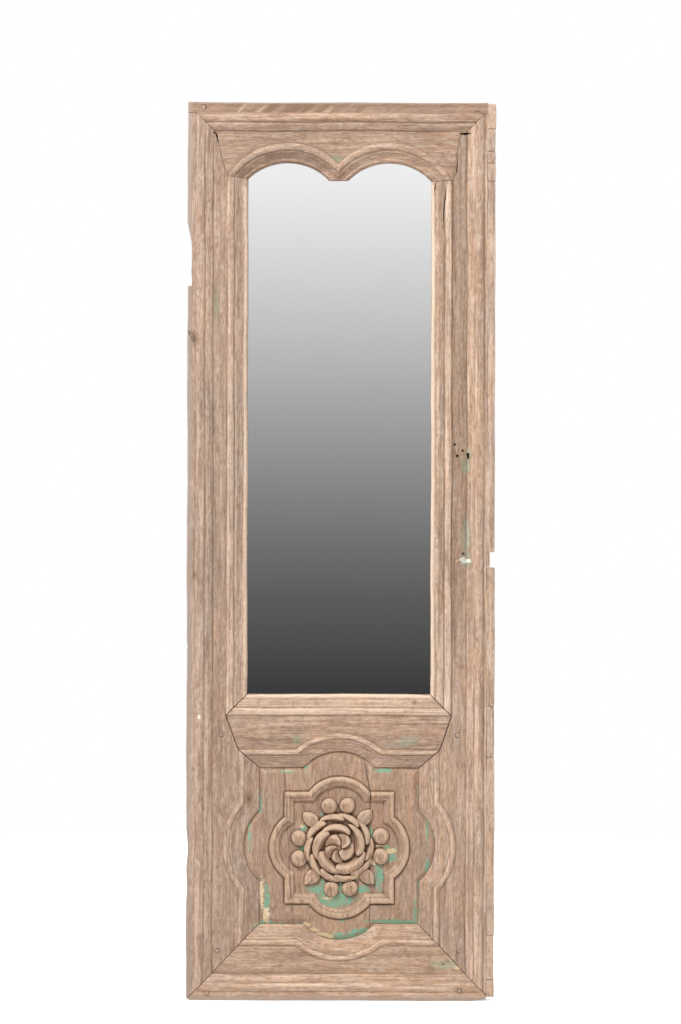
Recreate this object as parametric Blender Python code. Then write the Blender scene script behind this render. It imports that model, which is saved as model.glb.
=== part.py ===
"""Old carved door leaf made into a tall wall mirror, with a rose panel below the glass.

The leaf stands upright: X runs to the right, the front faces -Y, and the back lies in the plane Y = 0.
"Height" of a surface means its distance forward of that back plane. "Level" means metres above the foot.
"""

import math

import bmesh
import bpy
from mathutils import Vector

# Leaf
LEAF_LEFT = 0.304
LEAF_RIGHT = 0.2955
LEAF_LEVEL = 1.795
LEAF_THICKNESS = 0.045
FIELD_THICKNESS = 0.032
ORIGIN_LEVEL = 1.745
JOINT_GAP = 0.0003
FIT_GAP = 0.0003
CLEAR_OF_LEAF = 0.02
CLEAR_ABOVE_LEAF = 0.06

# Border moulding round the leaf
BAND_THICKNESS = 0.040
BAND_LEFT = 0.016
BAND_RIGHT = 0.0055
BAND_TOP = 0.021
BAND_BOTTOM = 0.0175
BORDER_WIDTH = 0.0355
BORDER_SHARES = (
    (0.0, 0.889), (0.028, 0.967), (0.113, 1.0), (0.254, 0.978), (0.423, 0.9),
    (0.549, 0.811), (0.662, 0.778), (0.718, 0.8), (0.972, 0.778), (1.0, 0.7111),
)

# Mirror opening, with two arches at its head
STILE_WIDTH = 0.120
MIRROR_HALF_WIDTH = LEAF_LEFT - STILE_WIDTH
SILL_LEVEL = 0.611
MOULDING_WIDTH = 0.042
MOULDING_THICKNESS = 0.0365
ARCH_SPACING_SHARE = 0.55435
ARCH_SPACING = MIRROR_HALF_WIDTH * ARCH_SPACING_SHARE
ARCH_SHIFT = -0.0024
ARCH_RADIUS_SHARE = 0.62337
ARCH_INNER_RADIUS = MIRROR_HALF_WIDTH * ARCH_RADIUS_SHARE
ARCH_INNER_LEVEL = 1.5618
ARCH_GROWTH_SHARE = 0.67143
ARCH_OUTER_RADIUS = ARCH_INNER_RADIUS + MOULDING_WIDTH * ARCH_GROWTH_SHARE
ARCH_LIFT_SHARE = 0.28095
ARCH_OUTER_LEVEL = ARCH_INNER_LEVEL + MOULDING_WIDTH * ARCH_LIFT_SHARE
ARCH_STEPS = 12
CUSP_CUT_SHARE = 0.43478
CUSP_CUT_LEVEL = ARCH_INNER_LEVEL + MIRROR_HALF_WIDTH * CUSP_CUT_SHARE
CUSP_CUT_HALF_SHARE = 0.185
CUSP_CUT_HALF = MIRROR_HALF_WIDTH * CUSP_CUT_HALF_SHARE
CUSP_CUT_DROP = 0.06
MIRROR_SHARES = (
    (1.0, 0.877), (0.976, 0.918), (0.88, 1.0), (0.762, 0.959), (0.714, 0.973), (0.5, 0.89),
    (0.476, 0.863), (0.429, 0.904), (0.238, 0.945), (0.167, 0.945), (0.095, 0.822), (0.0, 0.658),
)

# Panel opening, with a lobe on each side
PANEL_CENTRE = 0.0015
PANEL_CENTRE_LEVEL = 0.308
PANEL_HALF_WIDTH = 0.160
PANEL_HALF_HEIGHT = 0.157
PANEL_LOBE_HALF = 0.0715
PANEL_LOBE_RISE = 0.032
PANEL_TOP_REACH_SHARE = 0.88
LOBE_STEPS = 8
PANEL_SHARES = (
    (1.0, 0.877), (0.976, 0.93), (0.905, 1.0), (0.81, 0.959), (0.774, 0.904), (0.738, 0.945),
    (0.595, 0.932), (0.56, 0.863), (0.524, 0.863), (0.286, 0.74), (0.095, 0.671), (0.0, 0.603),
)

# Joints of the frame
LOBE_JOINT_THICKNESS = 0.025
BODY_STEP = 0.00005
TONGUE_BACK = 0.014
TONGUE_FRONT = 0.026
TOP_SHOULDER_REACH = 0.016
TOP_SHOULDER = MIRROR_HALF_WIDTH + TOP_SHOULDER_REACH
LOW_SHOULDER_REACH = 0.005
LOW_SHOULDER = PANEL_HALF_WIDTH + LOW_SHOULDER_REACH
TOP_TONGUE_LEVEL = 1.700
MID_TONGUE_LOW = 0.512
MID_TONGUE_HIGH = 0.598
BOTTOM_TONGUE_LEVEL = 0.124
MITRE_REACH = 0.07
OPENING_REACH = 0.01
KINK_DROP = 0.009
KINK_LEFT = 0.0055
KINK_RIGHT = 0.0155

# Pegs
PEG_RADIUS = 0.0055
PEG_PROUD = 0.0006
PEG_BACK = 0.0005
PEG_SIDES = 14
PEG_BAND_INSET = 0.0105
PEG_TOP_LEFT_INSET = 0.0313
PEG_MID_LEVEL = 0.531
PEG_MID_LEFT = 0.2334
PEG_MID_RIGHT = 0.2386
PEG_LOW_LEVEL = 0.0988
PEG_LOW_SIDE = 0.2416
PEG_FOOT_LEFT = 0.262
PEG_FOOT_LEFT_LEVEL = 0.014
PEG_FOOT_RIGHT = 0.2423
PEG_FOOT_RIGHT_LEVEL = 0.0216

# Worn places of the leaf
HINGE_HIGH = 1.553
HINGE_LOW = 1.427
HINGE_TAPER = 0.040
HINGE_DEPTH = 0.008
WORN_WIDTH = 0.060
WORN_RISE = 0.008
WORN_LEFT_WIDTH = 0.012
WORN_LEFT_RISE = 0.004

# Glass and what holds it
RABBET_WIDTH = 0.010
RABBET_HEAD_LEVEL = 1.690
RABBET_DEPTH = 0.014
GLASS_THICKNESS = 0.004
BACKING_THICKNESS = 0.005
STRIP_WIDTH = 0.0094
PIN_RADIUS = 0.0008
PIN_LENGTH = 0.014
PIN_START = 0.002
PIN_SHARES = (0.2, 0.8)
PIN_SIDES = 8

# Panel boards
GROOVE_BACK = 0.008
GROOVE_FRONT = 0.020
GROOVE_REACH = 0.042
PANEL_CENTRE_SHIFT = 0.0005
ROSE_LEVEL = 0.304
GROUND_THICKNESS = 0.025
QUATREFOIL_HALF_WIDTH = 0.111
QUATREFOIL_HALF_HEIGHT = 0.113
QUATREFOIL_LOBE_HALF = 0.0615
QUATREFOIL_LOBE_RISE = 0.0305
QUATREFOIL_WIDTH = 0.020
QUATREFOIL_THICKNESS = 0.030
SUNK_THICKNESS = 0.021
QUATREFOIL_SHARES = (
    (0.0, 0.833), (0.03, 0.94), (0.16, 1.0), (0.36, 0.98), (0.5, 0.9), (0.56, 0.9),
    (0.62, 0.93), (0.86, 0.92), (0.96, 0.84), (1.0, 0.7),
)
CRACK_LEFT_TOP = -0.111
CRACK_LEFT_MIDDLE = -0.0967
CRACK_LEFT_BOTTOM = -0.086
CRACK_LEFT_LEVEL = 0.253
CRACK_RIGHT_TOP = 0.047
CRACK_RIGHT_MIDDLE = 0.0643
CRACK_RIGHT_BOTTOM = 0.0635
CRACK_RIGHT_LEVEL = 0.412

# Rose: each whorl has an inner and an outer radius, a crest height and petals at the listed angles
ROSE_RADIUS = 0.069
ROSE_FOOT = 0.018
WHORLS = (
    ("outer", 0.70, 1.0, 0.84, 0.70, 27.0, (104, 69, 32, -4, -40, -90, -143, 183, 142)),
    ("middle", 0.41, 0.77, 0.95, 0.78, 44.0, (90, 19, -59, -127, 167)),
    ("inner", 0.10, 0.46, 1.0, 0.80, 46.0, (56, -31, -109, 180, 123)),
)
ROSE_THICKNESS = 0.040
PETAL_SIDE_STEPS = 6
PETAL_ACROSS_SHARES = (0.0, 0.35, 0.7, 0.9, 1.0)
PETAL_RIM_SHARES = (0.0, 0.45, 1.0, 0.85, 0.35)
PETAL_PULL_SHARE = 0.09
PETAL_TILT_SHARE = 0.03
BUD_RADIUS = 0.0162
BUD_RISE = 0.011
BUD_STEPS = 10
BUD_RING_SHARES = (1.0, 0.82, 0.5)
BUD_RISE_SHARES = (0.35, 0.75, 0.95)
BUD_FOOT_SHARE = -0.3
BUD_SHARES = (
    (-0.278, 1.196), (0.232, 1.216), (-1.172, 0.270), (-1.172, -0.322),
    (1.204, 0.335), (1.197, -0.254), (-0.220, -1.199), (0.322, -1.175),
)
LEAF_WIDTH = 0.01275
LEAF_TIP = 0.017
LEAF_RISE = 0.010
LEAF_SIDE_SHARE = 0.45
LEAF_OUTLINE_SHARES = ((-0.9, 0.35), (-0.5, 0.9), (0.0, 1.0), (0.5, 0.62), (1.0, 0.0))
LEAF_SHARES = (
    (-0.841, 0.835, 135.0), (0.754, 0.904, 48.0), (-0.778, -0.875, 225.0), (0.828, -0.861, -47.0),
)

# Edge strips on the right
EDGE_STRIP_WIDTH = 0.015
EDGE_STRIP_THICKNESS = 0.041
EDGE_STRIP_CHAMFER = 0.0018
EDGE_TOP = 0.0020
EDGE_FOOT = 0.008
EDGE_JOINTS = (0.0426, 0.1306, 0.4872, 0.5896, 0.8666, 0.8966, 1.6386, 1.6746, 1.6986, 1.743)
NOTCH_JOINT = 0.8666
BRAD_RADIUS = 0.001
BRAD_LENGTH = 0.024
BRAD_SUNK = 0.0006
BRAD_THICKNESS = 0.033
BRAD_NEEDED = 0.08

# Hangers on the back
HANGER_LEVEL = 1.500
HANGER_LEFT = -0.2500
HANGER_RIGHT = 0.2460
POCKET_DEPTH = 0.007
POCKET_HALF_WIDTH = 0.0165
POCKET_DROP = 0.046
POCKET_RISE = 0.027
PLATE_THICKNESS = 0.0012
PLATE_HALF_WIDTH = 0.005
PLATE_DROP = 0.040
BAR_BACK = 0.003
WIRE_RADIUS = 0.0019
WIRE_SIDES = 8
EYE_RADIUS = 0.0029
EYE_BORE_RADIUS = 0.0023
EYE_SIDES = 16
RING_HALF_WIDTH = 0.0115
RING_DROP = 0.0215
RING_CORNER_SHARE = 0.72
RING_BEND_SHARE = 0.72
RING_LEAST_STRETCH_SHARE = 0.5
RING_BEND_STEPS = 6
SCREW_DROP = 0.031
SCREW_RADIUS = 0.0016
SCREW_LENGTH = 0.016
SCREW_HEAD_RADIUS = 0.0036
SCREW_HEAD_THICKNESS = 0.0020
SCREW_SLOT_WIDTH = 0.0009
SCREW_SLOT_DEPTH = 0.0008

# Colours seen in the photo, then roughness and metallic value
WOOD = (0.52, 0.36, 0.26)
WOOD_PALE = (0.57, 0.41, 0.30)
PALE_PATCH = (0.62, 0.44, 0.30)
PEG_WOOD = (0.46, 0.31, 0.22)
PLY = (0.45, 0.33, 0.22)
SILVER = (0.80, 0.80, 0.80)
STEEL = (0.45, 0.45, 0.46)
ROUGH_WOOD = 0.75
SMOOTH_GLASS = 0.02
ROUGH_STEEL = 0.4


def clear_scene():
    for obj in list(bpy.data.objects):
        bpy.data.objects.remove(obj, do_unlink=True)


def at(x, height, level):
    return Vector((x, -height, level - ORIGIN_LEVEL))


def to_object(name, bm):
    bmesh.ops.recalc_face_normals(bm, faces=bm.faces)
    mesh = bpy.data.meshes.new(name)
    bm.to_mesh(mesh)
    bm.free()
    obj = bpy.data.objects.new(name, mesh)
    bpy.context.scene.collection.objects.link(obj)
    return obj


def tidy(obj):
    """Joins points that a Boolean left nearly on top of each other."""
    bm = bmesh.new()
    bm.from_mesh(obj.data)
    bmesh.ops.remove_doubles(bm, verts=bm.verts, dist=JOINT_GAP / 30)
    bmesh.ops.dissolve_degenerate(bm, edges=bm.edges, dist=JOINT_GAP / 30)
    bm.to_mesh(obj.data)
    bm.free()


def combine(target, tool, operation, keep_tool=False):
    """The joints lie so close together that the exact solver leaves open edges: hence the manifold one."""
    modifier = target.modifiers.new(operation.title(), "BOOLEAN")
    modifier.operation = operation
    modifier.solver = "MANIFOLD"
    modifier.object = tool
    graph = bpy.context.evaluated_depsgraph_get()
    mesh = bpy.data.meshes.new_from_object(target.evaluated_get(graph))
    target.modifiers.clear()
    target.data = mesh
    if not keep_tool:
        bpy.data.objects.remove(tool, do_unlink=True)
    return target


def copy_of(obj, name):
    twin = obj.copy()
    twin.data = obj.data.copy()
    twin.name = name
    bpy.context.scene.collection.objects.link(twin)
    return twin


def skin(bm, rings, closed=True):
    """Quads between each ring of points and the next."""
    for first, second in zip(rings, rings[1:]):
        count = len(first)
        for i in range(count if closed else count - 1):
            j = (i + 1) % count
            bm.faces.new((first[i], first[j], second[j], second[i]))


def fill(bm, rings):
    """A flat face between closed rings of points: the first is the outline, the others are holes."""
    edges = []
    for ring in rings:
        for i, vert in enumerate(ring):
            edge = bm.edges.get((vert, ring[(i + 1) % len(ring)]))
            edges.append(edge)
    bmesh.ops.triangle_fill(bm, edges=edges, use_beauty=True)


def ring_at(bm, points, height):
    return [bm.verts.new(at(x, height, level)) for x, level in points]


def prism(name, points, back, front):
    """A solid with the given outline, between two heights."""
    bm = bmesh.new()
    low = ring_at(bm, points, back)
    high = ring_at(bm, points, front)
    skin(bm, [low, high])
    bm.faces.new(low)
    bm.faces.new(high)
    return to_object(name, bm)


def box(name, left, right, back, front, low, high):
    return prism(name, ((left, low), (right, low), (right, high), (left, high)), back, front)


def rod(name, start, end, radius, sides):
    """A round rod between two points."""
    bm = bmesh.new()
    along = end - start
    turn = along.to_track_quat("Z", "Y")
    rings = []
    for place in (start, end):
        ring = []
        for i in range(sides):
            angle = math.tau * i / sides
            ring.append(bm.verts.new(place + turn @ Vector((math.cos(angle), math.sin(angle), 0)) * radius))
        rings.append(ring)
    skin(bm, rings)
    bm.faces.new(rings[0])
    bm.faces.new(rings[1])
    return to_object(name, bm)


def grown(points, distance):
    """The outline, which runs anticlockwise, with each side moved outwards."""
    moved = []
    count = len(points)
    for i in range(count):
        before = Vector(points[i - 1])
        here = Vector(points[i])
        after = Vector(points[(i + 1) % count])
        first = (here - before).normalized()
        second = (after - here).normalized()
        first_normal = Vector((first.y, -first.x))
        second_normal = Vector((second.y, -second.x))
        bisector = first_normal + second_normal
        moved.append(tuple(here + bisector * (2 * distance / bisector.length_squared)))
    return moved


def crossed(points, places):
    """The outline with an extra point wherever it crosses one of the given X places."""
    found = []
    count = len(points)
    for i in range(count):
        here = points[i]
        after = points[(i + 1) % count]
        found.append(here)
        hits = []
        for x in places:
            if (here[0] - x) * (after[0] - x) < 0:
                share = (x - here[0]) / (after[0] - here[0])
                hits.append((share, (x, here[1] + (after[1] - here[1]) * share)))
        found.extend(point for _, point in sorted(hits))
    return found


# Outlines of the openings


def border_loop(inset):
    left = -LEAF_LEFT + BAND_LEFT + inset
    right = LEAF_RIGHT - BAND_RIGHT - inset
    low = BAND_BOTTOM + inset
    high = LEAF_LEVEL - BAND_TOP - inset
    return [(left, low), (right, low), (right, high), (left, high)]


def arch_curve(radius, level, side, steps):
    """Both arches from the left foot over the cusp to the right foot."""
    points = []
    for sign in (-1, 1):
        centre = ARCH_SHIFT + sign * ARCH_SPACING
        foot = math.acos((sign * side - centre) / radius)
        cusp = math.acos(-sign * ARCH_SPACING / radius)
        first, last = (foot, cusp) if sign < 0 else (cusp, foot)
        for i in range(steps + 1):
            if sign > 0 and i == 0:
                continue
            angle = first + (last - first) * i / steps
            points.append(Vector((centre + radius * math.cos(angle), level + radius * math.sin(angle))))
    return points


def arches(share, steps=ARCH_STEPS):
    inner = arch_curve(ARCH_INNER_RADIUS, ARCH_INNER_LEVEL, MIRROR_HALF_WIDTH, steps)
    outer = arch_curve(ARCH_OUTER_RADIUS, ARCH_OUTER_LEVEL, MIRROR_HALF_WIDTH + MOULDING_WIDTH, steps)
    return [tuple(a.lerp(b, share)) for a, b in zip(inner, outer)]


def mirror_loop(share):
    side = MIRROR_HALF_WIDTH + share * MOULDING_WIDTH
    low = SILL_LEVEL - share * MOULDING_WIDTH
    return [(-side, low), (side, low)] + arches(share)[::-1]


def lobed_loop(centre, half_width, half_height, lobe_half, lobe_rise, grow, top_share=1.0, flat=False):
    """An oblong outline with a round lobe in the middle of each side, grown outwards by a width."""
    radius = (lobe_half ** 2 + lobe_rise ** 2) / (2 * lobe_rise)
    sides = ((0, -1, half_height), (1, 0, half_width), (0, 1, half_height), (-1, 0, half_width))
    growths = [grow, grow, grow * top_share, grow]
    points = []
    for k, (across, up, half) in enumerate(sides):
        normal = Vector((across, up))
        along = Vector((-up, across))
        reach = half + growths[k]
        before = sides[k - 1][2] + growths[k - 1]
        points.append(tuple(centre + normal * reach - along * before))
        hub = half + lobe_rise - radius
        swing = math.acos((reach - hub) / (radius + growths[k]))
        for i in range(LOBE_STEPS + 1):
            angle = swing * (2 * i / LOBE_STEPS - 1)
            out = reach if flat else hub + (radius + growths[k]) * math.cos(angle)
            points.append(tuple(centre + normal * out + along * (radius + growths[k]) * math.sin(angle)))
    return points


def panel_loop(grow):
    centre = Vector((PANEL_CENTRE, PANEL_CENTRE_LEVEL))
    return lobed_loop(
        centre, PANEL_HALF_WIDTH, PANEL_HALF_HEIGHT, PANEL_LOBE_HALF, PANEL_LOBE_RISE, grow,
        PANEL_TOP_REACH_SHARE,
    )


def quatrefoil_loop(grow):
    centre = Vector((PANEL_CENTRE + PANEL_CENTRE_SHIFT, ROSE_LEVEL))
    return lobed_loop(
        centre, QUATREFOIL_HALF_WIDTH, QUATREFOIL_HALF_HEIGHT, QUATREFOIL_LOBE_HALF, QUATREFOIL_LOBE_RISE,
        grow,
    )


# Frame: one moulded blank, then parted into stiles and rails along its joints


def frame_blank():
    bm = bmesh.new()
    leaf = [(-LEAF_LEFT, 0), (LEAF_RIGHT, 0), (LEAF_RIGHT, LEAF_LEVEL), (-LEAF_LEFT, LEAF_LEVEL)]
    back = ring_at(bm, leaf, 0)
    border = [ring_at(bm, leaf, BAND_THICKNESS)]
    for share, thickness_share in BORDER_SHARES:
        border.append(ring_at(bm, border_loop(share * BORDER_WIDTH), thickness_share * LEAF_THICKNESS))
    for vert in border[-1]:
        vert.co.y = -FIELD_THICKNESS
    mirror = []
    for share, thickness_share in MIRROR_SHARES:
        mirror.append(ring_at(bm, mirror_loop(share), thickness_share * MOULDING_THICKNESS))
    panel = []
    for share, thickness_share in PANEL_SHARES:
        panel.append(ring_at(bm, panel_loop(share * MOULDING_WIDTH), thickness_share * MOULDING_THICKNESS))
    for ring in (mirror[0], panel[0]):
        for vert in ring:
            vert.co.y = -FIELD_THICKNESS
    mirror.append(ring_at(bm, mirror_loop(0), 0))
    panel.append(ring_at(bm, panel_loop(0), 0))
    skin(bm, [back] + border)
    skin(bm, mirror)
    skin(bm, panel)
    fill(bm, [border[-1], mirror[0], panel[0]])
    fill(bm, [back, mirror[-1], panel[-1]])
    return to_object("frame_blank", bm)


def mitre_end(corner, across, up):
    return (corner[0] + across * MITRE_REACH, corner[1] + up * MITRE_REACH)


def top_outline():
    inner = arches(0)
    outer = arches(1)
    border = border_loop(BORDER_WIDTH)
    ends = []
    for k, sign in ((0, 1), (-1, -1)):
        slope = (inner[k][1] - outer[k][1]) / (inner[k][0] - outer[k][0])
        x = inner[k][0] + sign * OPENING_REACH
        ends.append((x, inner[k][1] + slope * sign * OPENING_REACH))
    return [
        ends[0],
        (ARCH_SHIFT, CUSP_CUT_LEVEL - CUSP_CUT_HALF),
        ends[1],
        outer[-1],
        (border[2][0] - KINK_RIGHT, border[2][1] - KINK_DROP),
        border[2],
        mitre_end(border[2], 1, 1),
        mitre_end(border[3], -1, 1),
        border[3],
        (border[3][0] + KINK_LEFT, border[3][1] - KINK_DROP),
        outer[0],
    ]


def panel_corner(across, up, grow):
    rise = grow * (PANEL_TOP_REACH_SHARE if up > 0 else 1)
    return (
        PANEL_CENTRE + across * (PANEL_HALF_WIDTH + grow),
        PANEL_CENTRE_LEVEL + up * (PANEL_HALF_HEIGHT + rise),
    )


def mirror_corner(across, grow):
    return (across * (MIRROR_HALF_WIDTH + grow), SILL_LEVEL - grow)


def mid_outline():
    return [
        panel_corner(-1, 1, -OPENING_REACH),
        panel_corner(1, 1, -OPENING_REACH),
        panel_corner(1, 1, MOULDING_WIDTH),
        mirror_corner(1, MOULDING_WIDTH),
        mirror_corner(1, -OPENING_REACH),
        mirror_corner(-1, -OPENING_REACH),
        mirror_corner(-1, MOULDING_WIDTH),
        panel_corner(-1, 1, MOULDING_WIDTH),
    ]


def bottom_outline():
    border = border_loop(BORDER_WIDTH)
    return [
        mitre_end(border[0], -1, -1),
        mitre_end(border[1], 1, -1),
        border[1],
        panel_corner(1, -1, MOULDING_WIDTH),
        panel_corner(1, -1, -OPENING_REACH),
        panel_corner(-1, -1, -OPENING_REACH),
        panel_corner(-1, -1, MOULDING_WIDTH),
        border[0],
    ]


def joint_body(name, outline, shoulder, centre, tongue_low, tongue_high, grow):
    """The space that a rail takes up: its face, its shouldered body and the tongue through both stiles."""
    left = centre - shoulder - grow
    right = centre + shoulder + grow
    points = crossed(grown(outline, grow - BODY_STEP), (left, right))
    middle = [p for p in points if left <= p[0] <= right]
    face = prism(name, grown(outline, grow), LOBE_JOINT_THICKNESS - grow, LEAF_THICKNESS + CLEAR_OF_LEAF)
    body = prism(name + "_body", middle, -CLEAR_OF_LEAF, LEAF_THICKNESS + CLEAR_OF_LEAF / 2)
    side = LEAF_LEFT + CLEAR_ABOVE_LEAF
    tongue = box(
        name + "_tongue", -side, side, TONGUE_BACK - grow, TONGUE_FRONT + grow,
        tongue_low - grow, tongue_high + grow,
    )
    combine(face, body, "UNION")
    combine(face, tongue, "UNION")
    return face


def rails_and_stiles():
    blank = frame_blank()
    cusp_low = CUSP_CUT_LEVEL - CUSP_CUT_DROP
    cut = box(
        "cusp_cut", ARCH_SHIFT - CUSP_CUT_HALF, ARCH_SHIFT + CUSP_CUT_HALF, -CLEAR_OF_LEAF,
        LEAF_THICKNESS + CLEAR_OF_LEAF, cusp_low, CUSP_CUT_LEVEL,
    )
    combine(blank, cut, "DIFFERENCE")
    for name, points in (("worn_right", worn_outline(1)), ("worn_left", worn_outline(-1))):
        combine(blank, prism(name, points, -CLEAR_OF_LEAF, LEAF_THICKNESS + CLEAR_OF_LEAF), "DIFFERENCE")
    above = LEAF_LEVEL + CLEAR_ABOVE_LEAF
    joints = (
        ("top_rail", top_outline(), TOP_SHOULDER, 0, TOP_TONGUE_LEVEL, above),
        ("mid_rail", mid_outline(), LOW_SHOULDER, PANEL_CENTRE, MID_TONGUE_LOW, MID_TONGUE_HIGH),
        ("bottom_rail", bottom_outline(), LOW_SHOULDER, PANEL_CENTRE, -CLEAR_ABOVE_LEAF, BOTTOM_TONGUE_LEVEL),
    )
    rails = []
    far = LEAF_LEFT + CLEAR_ABOVE_LEAF
    for name, outline, shoulder, centre, low, high in joints:
        rail = copy_of(blank, name)
        tight = joint_body(name + "_space", outline, shoulder, centre, low, high, -JOINT_GAP / 2)
        combine(rail, tight, "INTERSECT")
        rails.append(rail)
    stiles = []
    for name, left, right in (("stile_left", -far, PANEL_CENTRE), ("stile_right", PANEL_CENTRE, far)):
        stile = copy_of(blank, name)
        half = box(
            "half", left, right, -CLEAR_OF_LEAF, LEAF_THICKNESS + CLEAR_OF_LEAF, -CLEAR_ABOVE_LEAF, above,
        )
        combine(stile, half, "INTERSECT")
        for part, outline, shoulder, centre, low, high in joints:
            loose = joint_body(part + "_slot", outline, shoulder, centre, low, high, JOINT_GAP / 2)
            combine(stile, loose, "DIFFERENCE")
        stiles.append(stile)
    bpy.data.objects.remove(blank, do_unlink=True)
    return stiles + rails


def worn_outline(side):
    """The corner worn away at the foot of the leaf, as a curve that runs up towards its outer edge."""
    width = WORN_WIDTH if side > 0 else WORN_LEFT_WIDTH
    rise = WORN_RISE if side > 0 else WORN_LEFT_RISE
    edge = LEAF_RIGHT + EDGE_STRIP_WIDTH if side > 0 else LEAF_LEFT
    points = [(edge - width, -CLEAR_OF_LEAF), (edge + CLEAR_OF_LEAF, -CLEAR_OF_LEAF)]
    points.append((edge + CLEAR_OF_LEAF, rise + CLEAR_OF_LEAF))
    for share, rise_share in ((0.0, 1.0), (0.1, 0.75), (0.3, 0.4), (0.6, 0.12), (1.0, -0.1)):
        points.append((edge - share * width, rise * rise_share))
    return [(side * x, level) for x, level in points][::side]


def cut_rabbet_and_groove(members):
    side = MIRROR_HALF_WIDTH + RABBET_WIDTH
    groove_side = PANEL_HALF_WIDTH + GROOVE_REACH
    rabbet = box(
        "rabbet", -side, side, -CLEAR_OF_LEAF, RABBET_DEPTH, SILL_LEVEL - RABBET_WIDTH, RABBET_HEAD_LEVEL,
    )
    groove = box(
        "groove", PANEL_CENTRE - groove_side, PANEL_CENTRE + groove_side, GROOVE_BACK, GROOVE_FRONT,
        PANEL_CENTRE_LEVEL - PANEL_HALF_HEIGHT - GROOVE_REACH,
        PANEL_CENTRE_LEVEL + PANEL_HALF_HEIGHT + GROOVE_REACH,
    )
    for member in members:
        if member.name != "bottom_rail":
            combine(member, rabbet, "DIFFERENCE", keep_tool=True)
        if member.name != "top_rail":
            combine(member, groove, "DIFFERENCE", keep_tool=True)
    bpy.data.objects.remove(rabbet, do_unlink=True)
    bpy.data.objects.remove(groove, do_unlink=True)


def pegs_into(members):
    """Pegs driven through the joints, with their heads just proud of the wood round them."""
    by_name = {m.name: m for m in members}
    band = BAND_THICKNESS
    field = FIELD_THICKNESS
    crest = LEAF_THICKNESS
    left = by_name["stile_left"]
    right = by_name["stile_right"]
    top, mid, low = by_name["top_rail"], by_name["mid_rail"], by_name["bottom_rail"]
    places = (
        (-LEAF_LEFT + PEG_TOP_LEFT_INSET, LEAF_LEVEL - PEG_BAND_INSET, band, (left, top)),
        (-PEG_MID_LEFT, PEG_MID_LEVEL, field, (left, mid)),
        (PEG_MID_RIGHT, PEG_MID_LEVEL, field, (right, mid)),
        (-PEG_LOW_SIDE, PEG_LOW_LEVEL, field, (left, low)),
        (PEG_LOW_SIDE, PEG_LOW_LEVEL, field, (right, low)),
        (-PEG_FOOT_LEFT, PEG_FOOT_LEFT_LEVEL, crest, (left, low)),
        (PEG_FOOT_RIGHT, PEG_FOOT_RIGHT_LEVEL, crest, (right, low)),
    )
    pegs = []
    for x, level, height, pair in places:
        start = at(x, -CLEAR_OF_LEAF, level)
        end = at(x, LEAF_THICKNESS + CLEAR_OF_LEAF, level)
        hole = rod("peg_hole", start, end, PEG_RADIUS, PEG_SIDES)
        for member in pair:
            combine(member, hole, "DIFFERENCE", keep_tool=True)
        bpy.data.objects.remove(hole, do_unlink=True)
        peg = rod(
            f"joint_peg_{len(pegs) + 1}", at(x, PEG_BACK, level), at(x, height + PEG_PROUD, level),
            PEG_RADIUS - FIT_GAP, PEG_SIDES,
        )
        pegs.append(peg)
    return pegs


def cut_hinge_recess(stile):
    edge = -LEAF_LEFT
    points = (
        (edge - CLEAR_OF_LEAF, HINGE_LOW),
        (edge + HINGE_DEPTH, HINGE_LOW),
        (edge + HINGE_DEPTH, HINGE_HIGH - HINGE_TAPER),
        (edge - FIT_GAP, HINGE_HIGH),
        (edge - CLEAR_OF_LEAF, HINGE_HIGH),
    )
    recess = prism("hinge_recess", points, -CLEAR_OF_LEAF, LEAF_THICKNESS + CLEAR_OF_LEAF)
    combine(stile, recess, "DIFFERENCE")


# Panel boards and the rose


def petal(name, inner, outer, crest, hollow, half_angle, angle):
    """One petal of a whorl: a cupped leaf of wood whose rim stands up along its outer edge."""
    bm = bmesh.new()
    centre = Vector((PANEL_CENTRE + PANEL_CENTRE_SHIFT, ROSE_LEVEL))
    top = []
    foot = []
    for across, rim in zip(PETAL_ACROSS_SHARES, PETAL_RIM_SHARES):
        row = []
        low_row = []
        for i in range(PETAL_SIDE_STEPS + 1):
            turn = 2 * i / PETAL_SIDE_STEPS - 1
            pull = PETAL_PULL_SHARE * turn ** 2
            tilt = PETAL_TILT_SHARE * turn
            reach = inner + (outer - pull + tilt - inner) * across
            height = hollow + (crest - hollow) * (1 - pull - pull) * rim - tilt
            bearing = math.radians(angle + half_angle * turn)
            place = centre + Vector((math.cos(bearing), math.sin(bearing))) * (reach * ROSE_RADIUS)
            row.append(bm.verts.new(at(place.x, height * ROSE_THICKNESS, place.y)))
            low_row.append(bm.verts.new(at(place.x, ROSE_FOOT, place.y)))
        top.append(row)
        foot.append(low_row)
    skin(bm, top, closed=False)
    skin(bm, foot[::-1], closed=False)
    for first, second in ((top[0], foot[0]), (top[-1], foot[-1])):
        skin(bm, [first, second], closed=False)
    for end in (0, -1):
        skin(bm, [[row[end] for row in top], [row[end] for row in foot]], closed=False)
    bmesh.ops.triangulate(bm, faces=bm.faces)
    return to_object(name, bm)


def beside_rose(across_share, up_share):
    x = PANEL_CENTRE + PANEL_CENTRE_SHIFT + across_share * ROSE_RADIUS
    return x, ROSE_LEVEL + up_share * ROSE_RADIUS


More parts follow.
